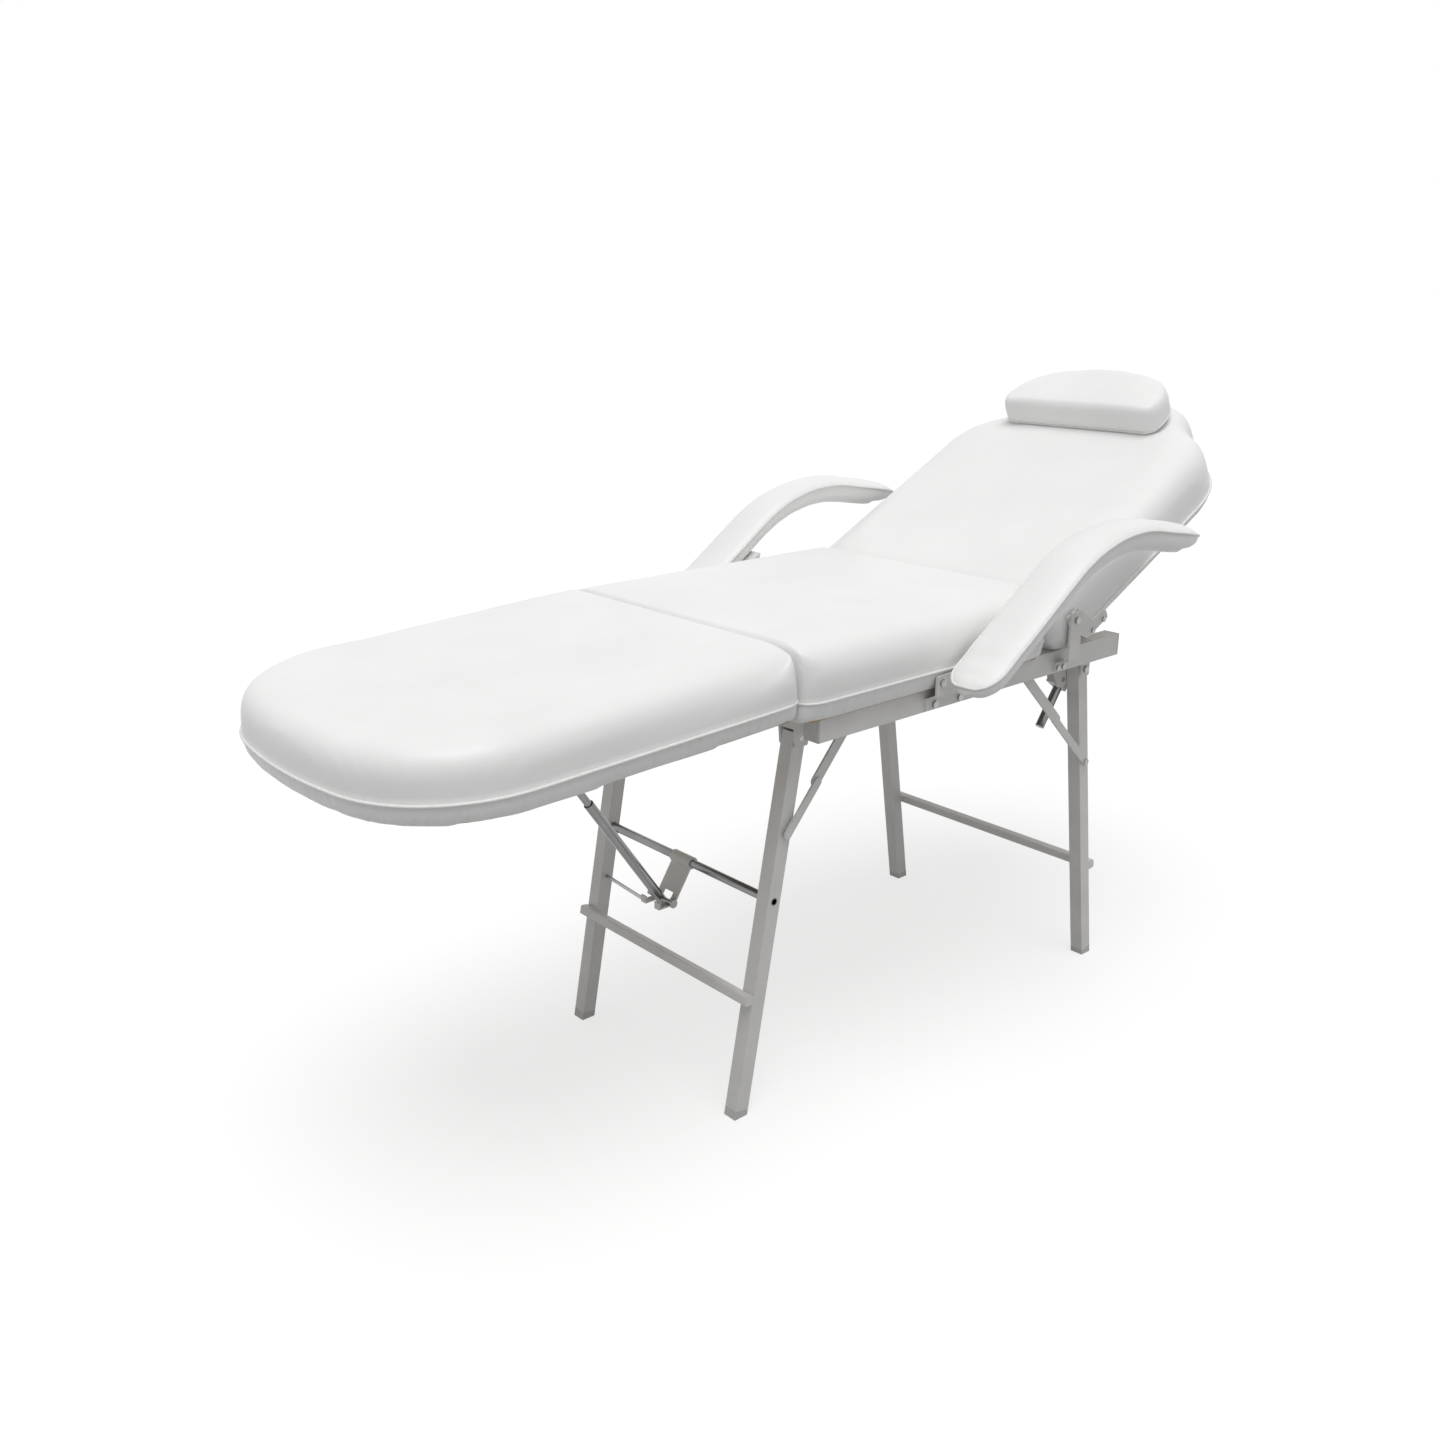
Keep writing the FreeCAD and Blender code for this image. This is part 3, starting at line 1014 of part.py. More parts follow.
def armrest_path():
    """Stations along the armrest's underside: point, direction in degrees, share of width, height of pad."""
    slope, fall = size("armrest_slope"), -size("armrest_fall")
    runs = (
        (size("armrest_toe_length"), size("armrest_toe_slope"), slope),
        (size("armrest_slope_length"), slope, slope),
        (size("armrest_crest_length"), slope, fall),
        (size("armrest_fall_length"), fall, fall),
    )
    pad, pad_top = size("armrest_pad"), size("armrest_pad_top")
    total = sum(run[0] for run in runs)
    crest_start = runs[0][0] + runs[1][0]
    half_width = size("armrest_width") / 2
    point = Vector(-size("armrest_start_reach"), 0, size("armrest_start_height"))
    gone = 0.0
    stations = []
    for (length, first, last), steps in zip(runs, ARMREST_STEPS):
        for step in range(steps):
            angle = first + (last - first) * step / steps
            toe = min(max(gone, size("armrest_toe_blunt")) / half_width, 1.0)
            tip = min((total - gone) / size("armrest_tip_length"), 1.0)
            rise = min(max((gone - crest_start) / size("armrest_crest_length"), 0.0), 1.0)
            tip_round = math.sin(math.radians(90 * tip))
            tip_width = math.sin(math.radians(ARMREST_TIP_ANGLE + (90 - ARMREST_TIP_ANGLE) * tip))
            width = math.sqrt(1 - (1 - toe) ** 2) * tip_width
            height = pad + rise * (pad_top - pad)
            height *= ARMREST_TOE_HEIGHT + (1 - ARMREST_TOE_HEIGHT) * toe
            height *= ARMREST_TIP_HEIGHT + (1 - ARMREST_TIP_HEIGHT) * tip_round
            lift = (1 - tip_round) * pad_top * ARMREST_TIP_LIFT
            stations.append((point + Vector(0, 0, lift), angle, width, height))
            reach = length / steps
            turn = math.radians(first + (last - first) * (step + 0.5) / steps)
            point = point + Vector(math.cos(turn), 0, math.sin(turn)) * reach
            gone += reach
    tip_point = point + Vector(0, 0, pad_top * ARMREST_TIP_LIFT)
    tip_width = math.sin(math.radians(ARMREST_TIP_ANGLE))
    stations.append((tip_point, fall, tip_width, ARMREST_TIP_HEIGHT * pad_top))
    return stations


def armrest_section(point, angle, half_width, height, y, bottom):
    """Cross-section of the armrest: flat base, sides a little drawn in, crowned top."""
    turn = math.radians(angle)
    up = Vector(-math.sin(turn), 0, math.cos(turn))
    side = Vector(0, half_width, 0)
    base = point + Vector(0, y, 0) + up * bottom
    foot = side * ARMREST_BASE
    shoulder = base + up * (height * ARMREST_SHOULDER)
    corners = [base - foot, base + foot, shoulder + side, shoulder - side]
    return Part.Wire([
        Part.LineSegment(corners[0], corners[1]).toShape(),
        Part.LineSegment(corners[1], corners[2]).toShape(),
        Part.Arc(corners[2], base + up * height, corners[3]).toShape(),
        Part.LineSegment(corners[3], corners[0]).toShape(),
    ])


def make_armrests():
    """Padded armrests on bent boards, each on a bracket bolted to the rail."""
    half = size("armrest_width") / 2
    stations = armrest_path()
    thick = size("armrest_board")
    centre_y = half_pad + size("armrest_gap") + half
    web, flange = size("armrest_web"), size("armrest_flange")
    start, slope = stations[ARMREST_STEPS[0]][0], math.radians(size("armrest_slope"))
    along = Vector(math.cos(slope), 0, math.sin(slope))
    under = Vector(math.sin(slope), 0, -math.cos(slope))
    bolts = []
    for side, sign in LEFT_AND_RIGHT:
        y = sign * centre_y
        gap = size("armrest_board_gap")
        wires = [armrest_section(p, a, half * w, h, y, gap) for p, a, w, h in stations]
        cushion = doc.addObject("Part::Feature", "armrest_cushion_" + side)
        cushion.Shape = Part.makeLoft(wires, True, False)
        node(cushion, "armrest_cushion_" + side)
        narrow = half - size("armrest_board_inset")
        low_wires = []
        for p, a, w, h in stations[1:-3]:
            turn = math.radians(a)
            up = Vector(-math.sin(turn), 0, math.cos(turn))
            across = Vector(0, narrow * w, 0)
            base = p + Vector(0, y, 0)
            low = base - up * thick
            low_wires.append(Part.makePolygon([
                base - across, base + across, low + across, low - across, base - across]))
        core = doc.addObject("Part::Feature", "armrest_board_" + side)
        core.Shape = Part.makeLoft(low_wires, True, True)
        node(core, "armrest_board_" + side)

        web_y = half_pad + size("hinge_plate_gap") + web / 2
        seat_point = start + under * thick
        length = size("armrest_flange_length")
        foot_z = rail_bottom + size("armrest_foot_rise")
        knee = rail_bottom + size("armrest_knee_rise")
        bend = knee - size("joggle_rise")
        upper = seat_point + along * length
        web_front = seat_point.x - size("armrest_web_front")
        outline = lines([
            Vector(web_front, knee, 0), Vector(seat_point.x + size("armrest_web_rear"), knee, 0),
            Vector(upper.x, upper.z - size("armrest_web_tip"), 0), Vector(upper.x, upper.z, 0),
            Vector(seat_point.x, seat_point.z, 0),
            Vector(web_front, seat_point.z - size("armrest_web_lip"), 0)])
        wall = plate("armrest_web_" + side, outline, cell("armrest_web"), placed(0, sign * web_y, 0))
        shelf = box("armrest_shelf_" + side, str(length), cell("armrest_flange"), cell("armrest_web"),
                    Vector(length / 2, sign * (web_y - web / 2 + flange / 2), -web / 2))
        sloped = placed(seat_point.x, 0, seat_point.z, -size("armrest_slope"))
        shelf.Placement = sloped.multiply(shelf.Placement)
        inner, outer = sign * (web_y - web / 2), sign * (web_y + web / 2)
        top = knee + size("armrest_joggle_top")
        folded = lines([
            Vector(sign * rail_outer, foot_z, 0), Vector(sign * (rail_outer + web), foot_z, 0),
            Vector(sign * (rail_outer + web), bend, 0), Vector(outer, knee, 0), Vector(outer, top, 0),
            Vector(inner, top, 0), Vector(inner, knee + size("armrest_joggle_inner"), 0),
            Vector(sign * rail_outer, knee - size("joggle_inner_low"), 0)])
        middle_x = seat_point.x - size("armrest_joggle_set")
        joggle = plate("armrest_joggle_" + side, folded, cell("armrest_joggle_length"),
                       placed(middle_x, 0, 0), plane="YZ_Plane")
        node(fused("armrest_bracket_" + side, [wall, shelf, joggle]), "armrest_bracket_" + side)
        proud = size("bolt_head_height") / 2
        spots = []
        for share in (-0.5, 0.5):
            x = middle_x + share * size("armrest_bolt_pitch")
            spots.append(Vector(x, sign * (rail_outer + web + proud), (foot_z + bend) / 2))
        spots.append(Vector(seat_point.x - size("armrest_side_bolt_set"), outer + sign * proud,
                            seat_point.z - size("armrest_side_bolt_drop")))
        for index, spot in enumerate(spots):
            bolts.append(rod("armrest_bolt_%s_%d" % (side, index), cell("bolt_head"),
                             cell("bolt_head_height"), spot, ACROSS))
    return bolts


make_pads()
make_rails()
make_legs("front")
make_legs("rear")
make_leg_lugs()
make_front_leg_fittings()
make_braces()
make_foot_strut()
make_back_struts()
bracket_bolts = make_back_hinge()
make_foot_hinge()
bracket_bolts += make_armrests()
node(group("frame_bolts", bracket_bolts), "frame_bolts")
doc.recompute()

for thing in doc.Objects:
    if "Invalid" in thing.State or "Error" in thing.State:
        raise RuntimeError("%s did not build: %s" % (thing.Label, thing.State))
for piece in nodes:
    if piece.Shape.isNull() or not piece.Shape.isValid():
        raise RuntimeError("%s has no valid shape" % piece.Label)

whole = FreeCAD.BoundBox()
for piece in nodes:
    whole.add(piece.Shape.optimalBoundingBox())
shift = -whole.Center.x
os.makedirs("parts", exist_ok=True)
for piece in nodes:
    shape = piece.Shape.copy()
    shape.translate(Vector(shift, 0, 0))
    shape.exportStep("parts/%s.step" % piece.Label)

along, aside, guide_pivot, lug_pin = back_strut_lines()
print("crease at x = %.3f, box %.1f x %.1f x %.1f, low %.3f" % (
    shift, whole.XLength, whole.YLength, whole.ZLength, whole.ZMin))
print("back hinge %.3f %.3f" % (back_hinge_x + shift, back_hinge_z))
print("guide pivot %.3f %.3f, lug pin %.3f %.3f" % (
    guide_pivot.x + shift, guide_pivot.z, lug_pin.x + shift, lug_pin.z))
print("%d pieces" % len(nodes))
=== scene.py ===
"""Covers, finishes and studio for a folding facial massage bed."""

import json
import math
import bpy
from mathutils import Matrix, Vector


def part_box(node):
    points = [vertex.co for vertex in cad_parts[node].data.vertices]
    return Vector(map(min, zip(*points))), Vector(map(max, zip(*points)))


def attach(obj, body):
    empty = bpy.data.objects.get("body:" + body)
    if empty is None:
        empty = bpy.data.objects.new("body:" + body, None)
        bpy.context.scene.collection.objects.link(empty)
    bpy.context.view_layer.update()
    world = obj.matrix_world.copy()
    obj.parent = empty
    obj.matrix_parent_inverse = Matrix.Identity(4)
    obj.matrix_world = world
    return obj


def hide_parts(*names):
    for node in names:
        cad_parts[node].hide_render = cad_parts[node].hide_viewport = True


bl_info = {
    "name": "Facial Massage Bed",
    "version": (1, 0, 0),
    "blender": (4, 5, 0),
    "location": "3D View > Sidebar > Bed",
    "description": "Upholsters and finishes a folding facial massage bed",
    "category": "Object",
}

from collections import namedtuple

import bmesh
import bpy
from bpy.props import FloatProperty, FloatVectorProperty, IntProperty, PointerProperty
from mathutils import Vector
from mathutils.geometry import intersect_point_line
from mathutils.kdtree import KDTree

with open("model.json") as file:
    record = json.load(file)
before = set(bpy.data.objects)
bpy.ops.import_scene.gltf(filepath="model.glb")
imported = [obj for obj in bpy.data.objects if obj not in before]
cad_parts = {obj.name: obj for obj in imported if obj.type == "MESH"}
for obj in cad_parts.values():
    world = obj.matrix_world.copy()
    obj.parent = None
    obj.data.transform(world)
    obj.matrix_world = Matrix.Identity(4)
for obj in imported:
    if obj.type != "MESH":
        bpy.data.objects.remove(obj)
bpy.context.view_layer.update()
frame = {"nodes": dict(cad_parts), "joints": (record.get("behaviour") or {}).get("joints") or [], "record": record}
NODES = frame["nodes"]
MATERIAL_SLOT = {entry["node"]: entry["material_slot"] for entry in frame["record"]["subparts"]}
SIDES = ("left", "right")
UPWARD = Vector((0, 0, 1))
WHITE = (1.0, 1.0, 1.0, 1.0)

# Distances under which two points of a solid are one, and under which a point lies on an edge
MERGE_DISTANCE = 1e-5
NO_GAP = 1e-6

# Least rise of the normals on a board's top and on an armrest's crown
BOARD_FACE_RISE = 0.2
CROWN_FACE_RISE = 0.35

# Rounds that even out a cover's skin and a welt's loop
SKIN_ROUNDS = 5
LOOP_ROUNDS = 2

# Spacing of a welt's points, and of the points laid on an armrest for its welt
WELT_STEP = 0.008
CROWN_STEP = 0.006

# Share of its diameter by which a welt's middle stands off the cover
WELT_STAND_OFF = 0.3

# Heights above a cover's underside, or above an armrest's bracket, over which the hold on it fades
PAD_HOLD = (0.016, 0.034)
PILLOW_HOLD = (0.002, 0.012)
ARMREST_HOLD = (-0.010, 0.020)

# Distances from an end that meets another pad, over which the hold on it fades
END_HOLD = (0.004, 0.05)

# The turned hem: its height, the fade of its inner edge, and the lift of the cover inside the board
HEM_HEIGHT = (0.004, 0.014)
HEM_FADE = 0.008
BOARD_LIFT = 0.006

# The hanging skirt: its width in from the outline, and its start past an end that meets another pad
SKIRT_WIDTH = (0.010, 0.017)
SKIRT_START = (0.020, 0.055)

# A large pad: ends are (point, outward), and creases (point, outward, how far a place may reach)
PadPlan = namedtuple("PadPlan", "cushion board body ends creases welt_height hem_drop skirt_drop")


class CoverSettings(bpy.types.PropertyGroup):
    """Sizes and colours of the upholstery."""

    vinyl: FloatVectorProperty(
        name="Vinyl", description="Colour of the padded covers", subtype="COLOR", min=0.0, max=1.0,
        default=(0.87, 0.87, 0.865))
    piping: FloatVectorProperty(
        name="Piping", description="Colour of the welts sewn round the pads", subtype="COLOR",
        min=0.0, max=1.0, default=(0.80, 0.80, 0.79))
    pad_voxel: FloatProperty(
        name="Pad mesh", description="Mesh spacing of the large pads", unit="LENGTH", default=0.008)
    small_voxel: FloatProperty(
        name="Small mesh", description="Mesh spacing of the pillow and armrests", unit="LENGTH",
        default=0.005)
    pressure: FloatProperty(name="Stuffing", description="Pressure of the foam in its cover", default=4.0)
    pad_swell: FloatProperty(
        name="Pad swell", description="Furthest the cover of a pad is pushed out", unit="LENGTH",
        default=0.005)
    small_swell: FloatProperty(
        name="Small swell", description="Furthest the cover of pillow or armrest is pushed out",
        unit="LENGTH", default=0.002)
    evening: IntProperty(
        name="Evening", description="Rounds in which a cover's swelling is evened out", default=16)
    edge_roll: FloatProperty(
        name="Edge roll", description="Width over which the edges of the pads roll over", unit="LENGTH",
        default=0.062)
    crease_roll: FloatProperty(
        name="Crease roll", description="Width of the roll where two pads meet", unit="LENGTH",
        default=0.010)
    crease_zone: FloatProperty(
        name="Crease zone", description="Stretch of a pad that is drawn towards its crease", unit="LENGTH",
        default=0.20)
    crease_corner: FloatProperty(
        name="Crease corner", description="Width by a pad's side where the crease opens", unit="LENGTH",
        default=0.022)
    crease_room: FloatProperty(
        name="Crease room", description="Gap left between seat and back at their crease", unit="LENGTH",
        default=0.0025)
    foot_crease_reach: FloatProperty(
        name="Foot crease reach", description="How far seat and foot pad each reach into their joint",
        unit="LENGTH", default=0.00125)
    pillow_roll: FloatProperty(
        name="Pillow roll", description="Width over which the pillow's solid rolls over", unit="LENGTH",
        default=0.026)
    pillow_edge: FloatProperty(
        name="Pillow edge", description="Width of the roll left on the pillow's boxed edge", unit="LENGTH",
        default=0.014)
    pillow_zone: FloatProperty(
        name="Pillow zone", description="Stretch of the pillow that is drawn towards its edge",
        unit="LENGTH", default=0.078)
    pillow_seam: FloatProperty(
        name="Pillow seam", description="Share of the pillow's depth at which its welt runs",
        subtype="FACTOR", min=0.0, max=1.0, default=0.14)
    pillow_welt: FloatProperty(
        name="Pillow welt", description="Diameter of the pillow's piping", unit="LENGTH", default=0.00308)
    hem: FloatProperty(
        name="Hem", description="Width of the cover turned under a board", unit="LENGTH", default=0.034)
    hem_drop: FloatProperty(
        name="Hem drop", description="Sag of the turned cover under the seat and foot boards",
        unit="LENGTH", default=0.0005)
    skirt_drop: FloatProperty(
        name="Skirt drop", description="How far the cover hangs round the seat and foot boards",
        unit="LENGTH", default=0.0045)
    back_hem_drop: FloatProperty(
        name="Back hem drop", description="Sag of the turned cover under the back board", unit="LENGTH",
        default=0.0011)
    welt: FloatProperty(
        name="Welt", description="Diameter of the piping on pads and armrests", unit="LENGTH",
        default=0.0044)
    welt_height: FloatProperty(
        name="Welt height", description="Share of the seat and foot pads' depth at which their welts run",
        subtype="FACTOR", min=0.0, max=1.0, default=0.27)
    back_welt_height: FloatProperty(
        name="Back welt height", description="Share of the back pad's depth at which its welt runs",
        subtype="FACTOR", min=0.0, max=1.0, default=0.17)
    frames: IntProperty(name="Settling", description="Steps for which a cover is inflated", default=20)


class FinishSettings(bpy.types.PropertyGroup):
    """Colours of the frame, its fittings and its boards."""

    paint: FloatVectorProperty(
        name="Paint", description="Stoved paint of the frame", subtype="COLOR", min=0.0, max=1.0,
        default=(0.73, 0.725, 0.71))
    zinc: FloatVectorProperty(
        name="Zinc", description="Plated bolts, pins and hinge leaves", subtype="COLOR", min=0.0, max=1.0,
        default=(0.42, 0.42, 0.42))
    bright: FloatVectorProperty(
        name="Bright steel", description="Struts and round bar", subtype="COLOR", min=0.0, max=1.0,
        default=(0.25, 0.25, 0.25))
    plywood: FloatVectorProperty(
        name="Plywood", description="Boards under the pads", subtype="COLOR", min=0.0, max=1.0,
        default=(0.50, 0.36, 0.21))
    plastic: FloatVectorProperty(
        name="Plastic", description="Caps on legs and rails", subtype="COLOR", min=0.0, max=1.0,
        default=(0.60, 0.60, 0.59))


class StudioSettings(bpy.types.PropertyGroup):
    """Camera, light and floor."""

    eye: FloatVectorProperty(
        name="Eye", description="Where the camera stands", subtype="TRANSLATION", unit="LENGTH",
        default=(-1.5492, -1.5534, 1.2283))
    heading: FloatProperty(
        name="Heading", description="Camera's turn from the +Y axis", unit="ROTATION",
        default=math.radians(-41.25))
    pitch: FloatProperty(
        name="Pitch", description="Camera's tilt below the horizon", unit="ROTATION",
        default=math.radians(17.79))
    lens: FloatProperty(name="Lens", description="Focal length", unit="CAMERA", default=33.91)
    ambient: FloatProperty(name="Ambient", description="Light of the white room", default=0.46)
    key: FloatProperty(name="Key", description="Strength of the soft overhead light", default=1.70)
    key_tilt: FloatVectorProperty(
        name="Key tilt", description="Turn of the overhead light", subtype="EULER",
        default=(math.radians(11), math.radians(-10), 0.0))
    key_width: FloatProperty(
        name="Key width", description="Angle over which the overhead light spreads its shadows",
        unit="ROTATION", default=math.radians(40))
    floor: FloatProperty(
        name="Floor", description="Share of light that the floor throws back", subtype="FACTOR",
        min=0.0, max=1.0, default=0.36)
    floor_lift: FloatProperty(
        name="Floor lift", description="Light added to the floor for the eye and in reflections",
        default=0.68)
    floor_radius: FloatProperty(
        name="Floor radius", description="Radius of the round floor", unit="LENGTH", default=14.0)


class Finish:
    """A new material in the making, with its patterns on Object coordinates."""

    SHADE_ENDS = (0.3, 0.7)

    def __init__(self, name):
        self.material = bpy.data.materials.new(name)
        self.material.use_nodes = True
        self.nodes = self.material.node_tree.nodes
        self.links = self.material.node_tree.links
        self.nodes.clear()
        output = self.nodes.new("ShaderNodeOutputMaterial")
        self.shader = self.nodes.new("ShaderNodeBsdfPrincipled")
        self.links.new(self.shader.outputs["BSDF"], output.inputs["Surface"])
        self.place = self.nodes.new("ShaderNodeTexCoord").outputs["Object"]
        self.normal = None

    def stretched(self, scale, turn=0.0):
        """Object coordinates, scaled and tilted about Y."""
        mapping = self.nodes.new("ShaderNodeMapping")
        mapping.inputs["Scale"].default_value = scale
        mapping.inputs["Rotation"].default_value = (0.0, turn, 0.0)
        self.links.new(self.place, mapping.inputs["Vector"])
        return mapping.outputs["Vector"]

    def noise(self, scale, detail=3.0, vector=None):
        """Factor of a noise texture."""
        texture = self.nodes.new("ShaderNodeTexNoise")
        texture.inputs["Scale"].default_value = scale
        texture.inputs["Detail"].default_value = detail
        self.links.new(vector or self.place, texture.inputs["Vector"])
        return texture.outputs["Fac"]

    def grain(self, scale):
        """Distance from the middle of a leather-like cell."""
        texture = self.nodes.new("ShaderNodeTexVoronoi")
        texture.inputs["Scale"].default_value = scale
        self.links.new(self.place, texture.inputs["Vector"])
        return texture.outputs["Distance"]

    def times(self, first, second):
        """Product of two values."""
        product = self.nodes.new("ShaderNodeMath")
        product.operation = "MULTIPLY"
        self.links.new(first, product.inputs[0])
        self.links.new(second, product.inputs[1])
        return product.outputs["Value"]

    def attribute_step(self, attribute, low, high):
        """Smooth step from 0 to 1 as an attribute of the mesh goes from low to high."""
        value = self.nodes.new("ShaderNodeAttribute")
        value.attribute_name = attribute
        step = self.nodes.new("ShaderNodeMapRange")
        step.interpolation_type = "SMOOTHSTEP"
        step.inputs["From Min"].default_value = low
        step.inputs["From Max"].default_value = high
        self.links.new(value.outputs["Fac"], step.inputs["Value"])
        return step.outputs["Result"]

    def gloss(self, specular):
        """Set how strongly the surface reflects."""
        self.shader.inputs["Specular IOR Level"].default_value = specular

    def coat(self, weight, roughness):
        """Add a clear layer."""
        self.shader.inputs["Coat Weight"].default_value = weight
        self.shader.inputs["Coat Roughness"].default_value = roughness

    def tint(self, factor, colour, low, high):
        """Vary the colour between two shades of it."""
        ramp = self.nodes.new("ShaderNodeValToRGB")
        for element, end, shade in zip(ramp.color_ramp.elements, self.SHADE_ENDS, (low, high)):
            element.position = end
            element.color = (*(min(part * shade, 1.0) for part in colour), 1.0)
        self.links.new(factor, ramp.inputs["Fac"])
        self.links.new(ramp.outputs["Color"], self.shader.inputs["Base Color"])

    def roughness(self, factor, low, high):
        """Vary the roughness between two values."""
        spread = self.nodes.new("ShaderNodeMapRange")
        spread.inputs["To Min"].default_value = low
        spread.inputs["To Max"].default_value = high
        self.links.new(factor, spread.inputs["Value"])
        self.links.new(spread.outputs["Result"], self.shader.inputs["Roughness"])

    def relief(self, height, depth, strength):
        """Add a bump of a given depth over the earlier ones."""
        bump = self.nodes.new("ShaderNodeBump")
        bump.inputs["Distance"].default_value = depth
        bump.inputs["Strength"].default_value = strength
        self.links.new(height, bump.inputs["Height"])
        if self.normal:
            self.links.new(self.normal, bump.inputs["Normal"])
        self.normal = bump.outputs["Normal"]
        self.links.new(self.normal, self.shader.inputs["Normal"])


def vinyl_material(name, colour, normal):
    """Soft white vinyl: fine grain, slow waviness, and upright puckers beside the welts."""
    finish = Finish(name)
    finish.gloss(0.45)
    finish.coat(weight=0.06, roughness=0.35)
    broad = finish.noise(7.0)
    finish.tint(broad, colour, low=0.975, high=1.02)
    finish.roughness(finish.noise(55.0), low=0.36, high=0.50)
    finish.relief(finish.grain(620.0), depth=0.0004, strength=0.18)
    finish.relief(broad, depth=0.003, strength=0.12)
    upright = finish.stretched((72.0, 72.0, 7.0), -math.atan2(normal.x, normal.z))
    near_welt = finish.attribute_step("welt_gap", low=-0.010, high=0.005)
    puckers = finish.times(finish.noise(1.0, 2.0, upright), near_welt)
    finish.relief(puckers, depth=0.008, strength=0.55)
    return finish.material


def piping_material(colour):
    """Vinyl drawn tight over a cord."""
    finish = Finish("piping_vinyl")
    finish.gloss(0.5)
    finish.tint(finish.noise(160.0), colour, low=0.93, high=1.03)
    finish.roughness(finish.noise(300.0), low=0.34, high=0.48)
    finish.relief(finish.noise(700.0), depth=0.0005, strength=0.4)
    return finish.material


def paint_material(colour):
    """Stoved paint: faint orange peel, a little dust in the shade of its colour."""
    finish = Finish("frame_paint")
    finish.gloss(0.5)
    finish.coat(weight=0.12, roughness=0.25)
    finish.tint(finish.noise(18.0), colour, low=0.95, high=1.03)
    finish.roughness(finish.noise(90.0), low=0.34, high=0.50)
    finish.relief(finish.noise(420.0), depth=0.0004, strength=0.25)
    return finish.material


def metal_material(name, colour, smoothest, roughest, lines):
    """Metal with a fine drawn pattern, whose lines are as close along each axis as given."""
    finish = Finish(name)
    finish.shader.inputs["Metallic"].default_value = 1.0
    drawn = finish.noise(1.0, 4.0, finish.stretched(lines))
    finish.tint(finish.noise(30.0), colour, low=0.90, high=1.06)
    finish.roughness(drawn, low=smoothest, high=roughest)
    finish.relief(drawn, depth=0.0003, strength=0.2)
    return finish.material


def plywood_material(colour):
    """Birch plywood with figure that runs along the bed."""
    finish = Finish("plywood")
    finish.gloss(0.3)
    figure = finish.noise(1.0, 6.0, finish.stretched((5.0, 60.0, 60.0)))
    finish.tint(figure, colour, low=0.78, high=1.18)
    finish.roughness(figure, low=0.55, high=0.75)
    finish.relief(figure, depth=0.0008, strength=0.3)
    return finish.material


def plastic_material(colour):
    """Moulded plastic with a fine spark-eroded texture."""
    finish = Finish("cap_plastic")
    finish.tint(finish.noise(40.0), colour, low=0.93, high=1.04)
    finish.roughness(finish.noise(120.0), low=0.45, high=0.62)
    finish.relief(finish.noise(900.0), depth=0.0004, strength=0.35)
    return finish.material


def dress(thing, material):
    """Give an object one material."""
    thing.data.materials.clear()
    thing.data.materials.append(material)


def board_normal(node):
    """Upward normal of a flat board."""
    upper = [face for face in NODES[node].data.polygons if face.normal.z > BOARD_FACE_RISE]
    return max(upper, key=lambda face: face.area).normal.copy()


def headward_along(normal):
    """Direction along a board, towards the head end."""
    return Vector((normal.z, 0, -normal.x))


def span(node, direction):
    """Lowest and highest place of a solid along a direction."""
    places = [point.co.dot(direction) for point in NODES[node].data.vertices]
    return min(places), max(places)


def joint_named(name):
    """A joint's entry in the frame."""
    return next(joint for joint in frame["joints"] if joint["name"] == name)


def evaluated_mesh(thing):
    """A copy of an object's mesh with its modifiers applied."""
    graph = bpy.context.evaluated_depsgraph_get()
    return bpy.data.meshes.new_from_object(thing.evaluated_get(graph))


def new_object(name, data):
    """A new object, linked to the scene."""
    thing = bpy.data.objects.new(name, data)
    bpy.context.scene.collection.objects.link(thing)
    return thing


def joined_copy(name, node_names):
    """One new object from copies of CAD solids."""
    shell = bmesh.new()
    for node in node_names:
        shell.from_mesh(NODES[node].data)
    bmesh.ops.remove_doubles(shell, verts=shell.verts, dist=MERGE_DISTANCE)
    mesh = bpy.data.meshes.new(name)
    shell.to_mesh(mesh)
    shell.free()
    return new_object(name, mesh)


def smooth(form, rounds):
    """Even out a mesh's points."""
    for _ in range(rounds):
        bmesh.ops.smooth_vert(
            form, verts=form.verts, factor=0.5, use_axis_x=True, use_axis_y=True, use_axis_z=True)


def stuffed(name, node_names, voxel, swell, held, settings):
    """Remesh the solids' skin, even it out, inflate it as a cover over foam, and round it."""
    thing = joined_copy(name, node_names)
    skin = thing.modifiers.new("Skin", "REMESH")
    skin.mode = "VOXEL"
    skin.voxel_size = voxel
    bpy.context.view_layer.update()
    mesh = evaluated_mesh(thing)
    thing.modifiers.clear()
    thing.data = mesh
    form = bmesh.new()
    form.from_mesh(thing.data)
    smooth(form, SKIN_ROUNDS)
    bmesh.ops.recalc_face_normals(form, faces=form.faces)
    form.to_mesh(thing.data)
    form.free()
    inflate(thing, swell, held, settings)
    thing.data.shade_smooth()
    rounding = thing.modifiers.new("Rounding", "SUBSURF")
    rounding.levels = rounding.render_levels = 1
    return thing


